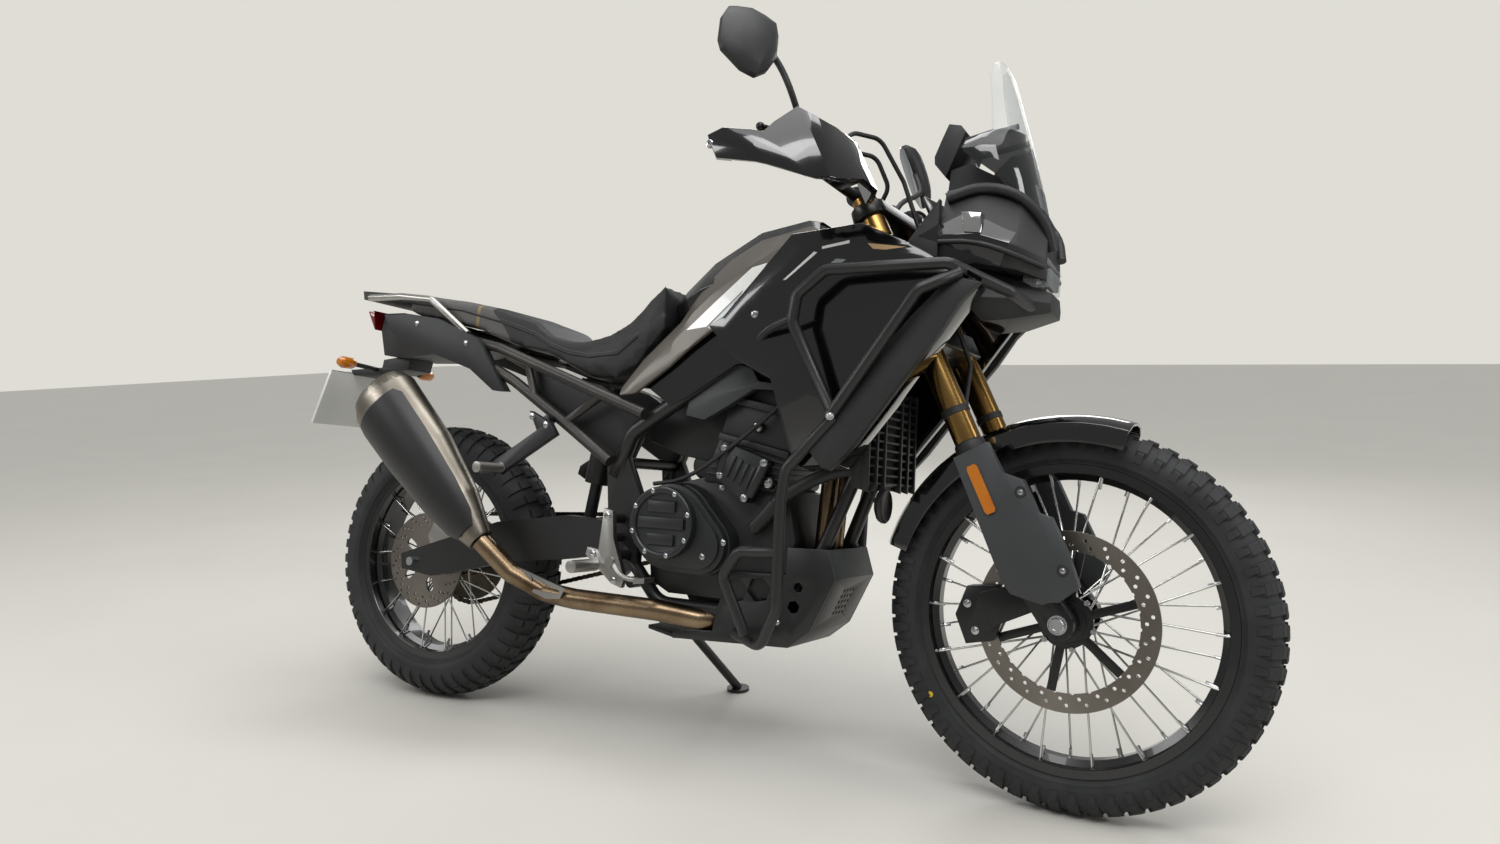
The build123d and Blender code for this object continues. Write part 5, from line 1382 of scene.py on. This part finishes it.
stays = bmesh.new()
for side in (-1, 1):
    tube(stays, rounded([(862, side * 124, 818), (920, side * 190, 836), (980, side * 244, 856),
        (1034, side * 256, 872)]), 7, sides=16)
made("bar_stays", stays, "chassis", (TUBE_BLACK,), "crash_bar_black")
CAN_END = 0.995  # the share of the can's length past which its end is
CAN_FOOT, CAN_TIP = Vector((270, -196, 400)), Vector((-52, -215, 724))
CAN_RUN = (CAN_TIP - CAN_FOOT).length
CAN_WAY = (CAN_TIP - CAN_FOOT).normalized()
# The silencer's end is black
dressed("silencer", 0.8, (BRUSHED_STEEL, TUBE_BLACK),
    pick=lambda at, _: int((at - CAN_FOOT).dot(CAN_WAY) > CAN_RUN * CAN_END))
dressed("rear_caliper", 1.2, (SILVER_ALUMINIUM,))
# The treads of the pegs are bright, outside their black brackets
dressed("foot_pegs", 0.8, (TUBE_BLACK, SILVER_ALUMINIUM),
    pick=lambda at, _: int((163 < abs(at.y) and at.x > 530) or (at.x < 300 and abs(at.y) > 168)))
levers = bmesh.new()
for side in (-1, 1):
    tube(levers, rounded([(604, side * 174, 382), (640, side * 188, 352), (704, side * 198, 352)]), 5.5,
        sides=12)
    lathe(levers, PARKED @ Matrix.Translation((604, 0, 382)), [(0, side * 176), (11, side * 176),
        (11, side * 184), (0, side * 184)], 18)
    prism(levers, [(692, 346), (718, 350), (718, 360), (692, 357)], side * 184, side * 222)
made("foot_levers", levers, "chassis", (SILVER_ALUMINIUM,), "frame_black")
dressed("handguards", 1.0, data=cut(drawn(guards), drawn(guards_outline), keep=True))
# The mirrors' faces towards the rider are glass
dressed("mirrors", 0.8, (TEXTURED_ABS, MIRROR_GLASS),
    pick=lambda at, way: int(way.x < -0.8 and abs(at.y) > 330), data=drawn(mirror_heads))

# Core of the radiator: upright fins behind its slats
unit = bmesh.new()
prism(unit, [(1133, 572), (1137.5, 572), (1137.5, 758), (1133, 758)], -133.4, -132.8)
unit.transform(PARKED.inverted())
stepped("radiator_fins", unit, PARKED, 108, "chassis", CORE_BLACK, "radiator_black", step=(0, 2.47, 0))

# Heat shield on the pipe: a solid plate and one open in its middle
shield = bmesh.new()
prism(shield, [(324, 343), (360, 350), (398, 340), (404, 322), (366, 331), (330, 326)], -176, -172)
prism(shield, [(398, 340), (491, 315), (480, 292), (443, 289), (404, 300), (404, 307), (474, 301),
    (478, 309), (404, 329)], -176, -172)
made("pipe_heat_shield", shield, "chassis", (SILVER_ALUMINIUM,), "silencer_steel")

# Heat shield on the silencer: a curved sheet standing off its outer side
side_of = CAN_WAY.cross(Vector((0, -1, 0))).normalized()
out_of = CAN_WAY.cross(side_of).normalized()
if out_of.y > 0:
    out_of = -out_of
CAN = PARKED @ Matrix.Translation(CAN_FOOT) @ Matrix((side_of, out_of, CAN_WAY)).transposed().to_4x4()
GUARD_TURNS = [-56 + 14 * n for n in range(9)]
guard = bmesh.new()
rings = []
# Columns: how far along the can, its half width there, how far round the sheet reaches
for share, wide, tall in ((0.06, 34, 40), (0.12, 40, 60), (0.3, 51, 66), (0.6, 61, 68), (0.84, 64, 68),
        (0.88, 64, 56)):
    ring = []
    for grow, turns in ((3.4, GUARD_TURNS), (1.2, GUARD_TURNS[::-1])):
        ring += [((wide * 1.36 + grow) * sin(t), (wide + grow) * cos(t), share * CAN_RUN)
            for t in (radians(degrees) * tall / 68 for degrees in turns)]
    rings.append(ring)
skinned(guard, CAN, rings)
made("silencer_guard", guard, "chassis", (TUBE_BLACK,), "frame_black")

tip = bmesh.new()
mouth = CAN @ Matrix.Translation((0, 0, CAN_RUN)) @ Matrix.Rotation(radians(90), 4, "X")
lathe(tip, mouth, [(0, 4), (19, 4), (20, -3), (24, -4), (25, 2), (25, 8)], 32)
made("silencer_mouth", tip, "chassis", (TUBE_BLACK,), "silencer_steel")

# ---- Small parts of the fork and bars, in the fork's frame: ahead, beside, along ----
STAND_UP = Matrix.Rotation(radians(90), 4, "X")  # turns a lathe's Y axis along the fork
LEG_Y, CUP_OUT = 106.5, 34.4  # a leg's axis from the middle, and the guard's face from that
for side, hand in HANDS:
    band = bmesh.new()
    leg = FORK @ Matrix.Translation((39, side * LEG_Y, 0)) @ STAND_UP
    lathe(band, leg, [(25, 770), (26.6, 771), (26.6, 783), (25, 784)], 40)
    lathe(band, leg, [(25, 694), (27.6, 695), (28.4, 712), (26.4, 716), (25, 717)], 40)
    made("fork_band_" + hand, band, "steering", (SOFT_RUBBER,), "grip_rubber")
GRIP_RUN = ((-23.3, 300.9, 1314.4), (-56.9, 428, 1325.2))
for side, hand in HANDS:
    a, b = (Vector((x, side * y, z)) for x, y, z in GRIP_RUN)
    way = (b - a).normalized()
    ribs = bmesh.new()
    base = Matrix.Translation(a) @ way.to_track_quat("Y", "Z").to_matrix().to_4x4()
    lathe(ribs, base, [(16.4, 0), (17.9, 0.4), (17.9, 2.4), (16.4, 2.8)], 28)
    stepped("grip_ribs_" + hand, ribs, FORK, 18, "steering", SOFT_RUBBER, "grip_rubber",
        step=tuple(way * 7.2))
cups = bmesh.new()
for side in (-1, 1):
    for a, t in ((104, 592), (116, 442)):
        outward = Matrix.Rotation(0 if side > 0 else pi, 4, "X")
        mouth = FORK @ Matrix.Translation((a - 6, side * (LEG_Y + CUP_OUT), t)) @ outward
        lathe(cups, mouth, [(0, -2), (6.5, -2), (7.5, 0.3), (10, 0.5), (11, -0.6)], 20)
made("fork_guard_cups", cups, "steering", (TEXTURED_ABS,), "guard_grey")
REFLECTOR_EDGE = [(26, 584), (29, 578), (43, 578), (46, 584), (46, 664), (43, 670), (29, 670), (26, 664)]
reflector = bmesh.new()
guard_tree = surface_tree("fork_guards")
for side in (-1, 1):
    inward = (FORK.to_3x3() @ Vector((0, -side, 0))).normalized()
    place, _, _, _ = guard_tree.ray_cast(FORK @ Vector((36, side * 400, 624)), inward)
    y = (FORK.inverted() @ place).y
    prism(reflector, REFLECTOR_EDGE, y - side * 3, y + side * 4, base=FORK)
made("fork_reflectors", reflector, "steering", (AMBER,), "guard_grey")

# Bolts on both sides, facing out. Columns: piece, x, z, radius
LEFT_AND_RIGHT = (
    ("engine+engine_covers", 813, 547, 5), ("engine+engine_covers", 856, 440, 5),
    ("engine+engine_covers", 815, 409, 5), ("engine+engine_covers", 836, 628, 6),
    ("engine+engine_covers", 926, 602, 6), ("engine+engine_covers", 884, 530, 6),
    ("engine+engine_covers", 826, 574, 6), ("engine", 927, 563, 8), ("engine", 897, 674, 7),
    ("foot_pegs", 591, 476, 7), ("foot_pegs", 615, 345, 7), ("foot_pegs", 560, 395, 7),
    ("foot_pegs", 366, 680, 6),
    ("foot_pegs", 405, 662, 6), ("side_fairings", 922, 887, 6), ("skid_plate", 960, 290, 5),
    ("tail_fairing", -30, 900, 5), ("tail_fairing", 130, 850, 5), ("crash_bars", 1105, 690, 6),
)
rows = [(piece, x, 0, z, (0, side, 0), radius) for piece, x, z, radius in LEFT_AND_RIGHT for side in (-1, 1)]
for side, x, z, _, circle, count, first in LIDS:
    rows += [("engine_covers", x + circle * cos(t), 0, z + circle * sin(t), (0, side, 0), 4.2)
        for t in (2 * pi * n / count + first for n in range(count))]
bolts("chassis_bolts", rows, "chassis", ZINC, "axle_steel")
rows = [("triple_clamps", 39, side * 120, z, (-1, 0, 0), 5) for side in (-1, 1) for z in (914, 934)]
rows += [("handguards", -72, side * 440, 1317, (0, side, 0), 7) for side in (-1, 1)]
rows += [("fork_guards", a, side * 106, t, (0, side, 0), 4) for side in (-1, 1)
    for a, t in ((98, 592), (110, 442))]
rows += [("front_caliper", -96, -100, 400, (0, -1, 0), 6), ("front_caliper", -90, -100, 450, (0, -1, 0), 6)]
bolts("fork_bolts", rows, "steering", ZINC, "axle_steel", base=FORK)
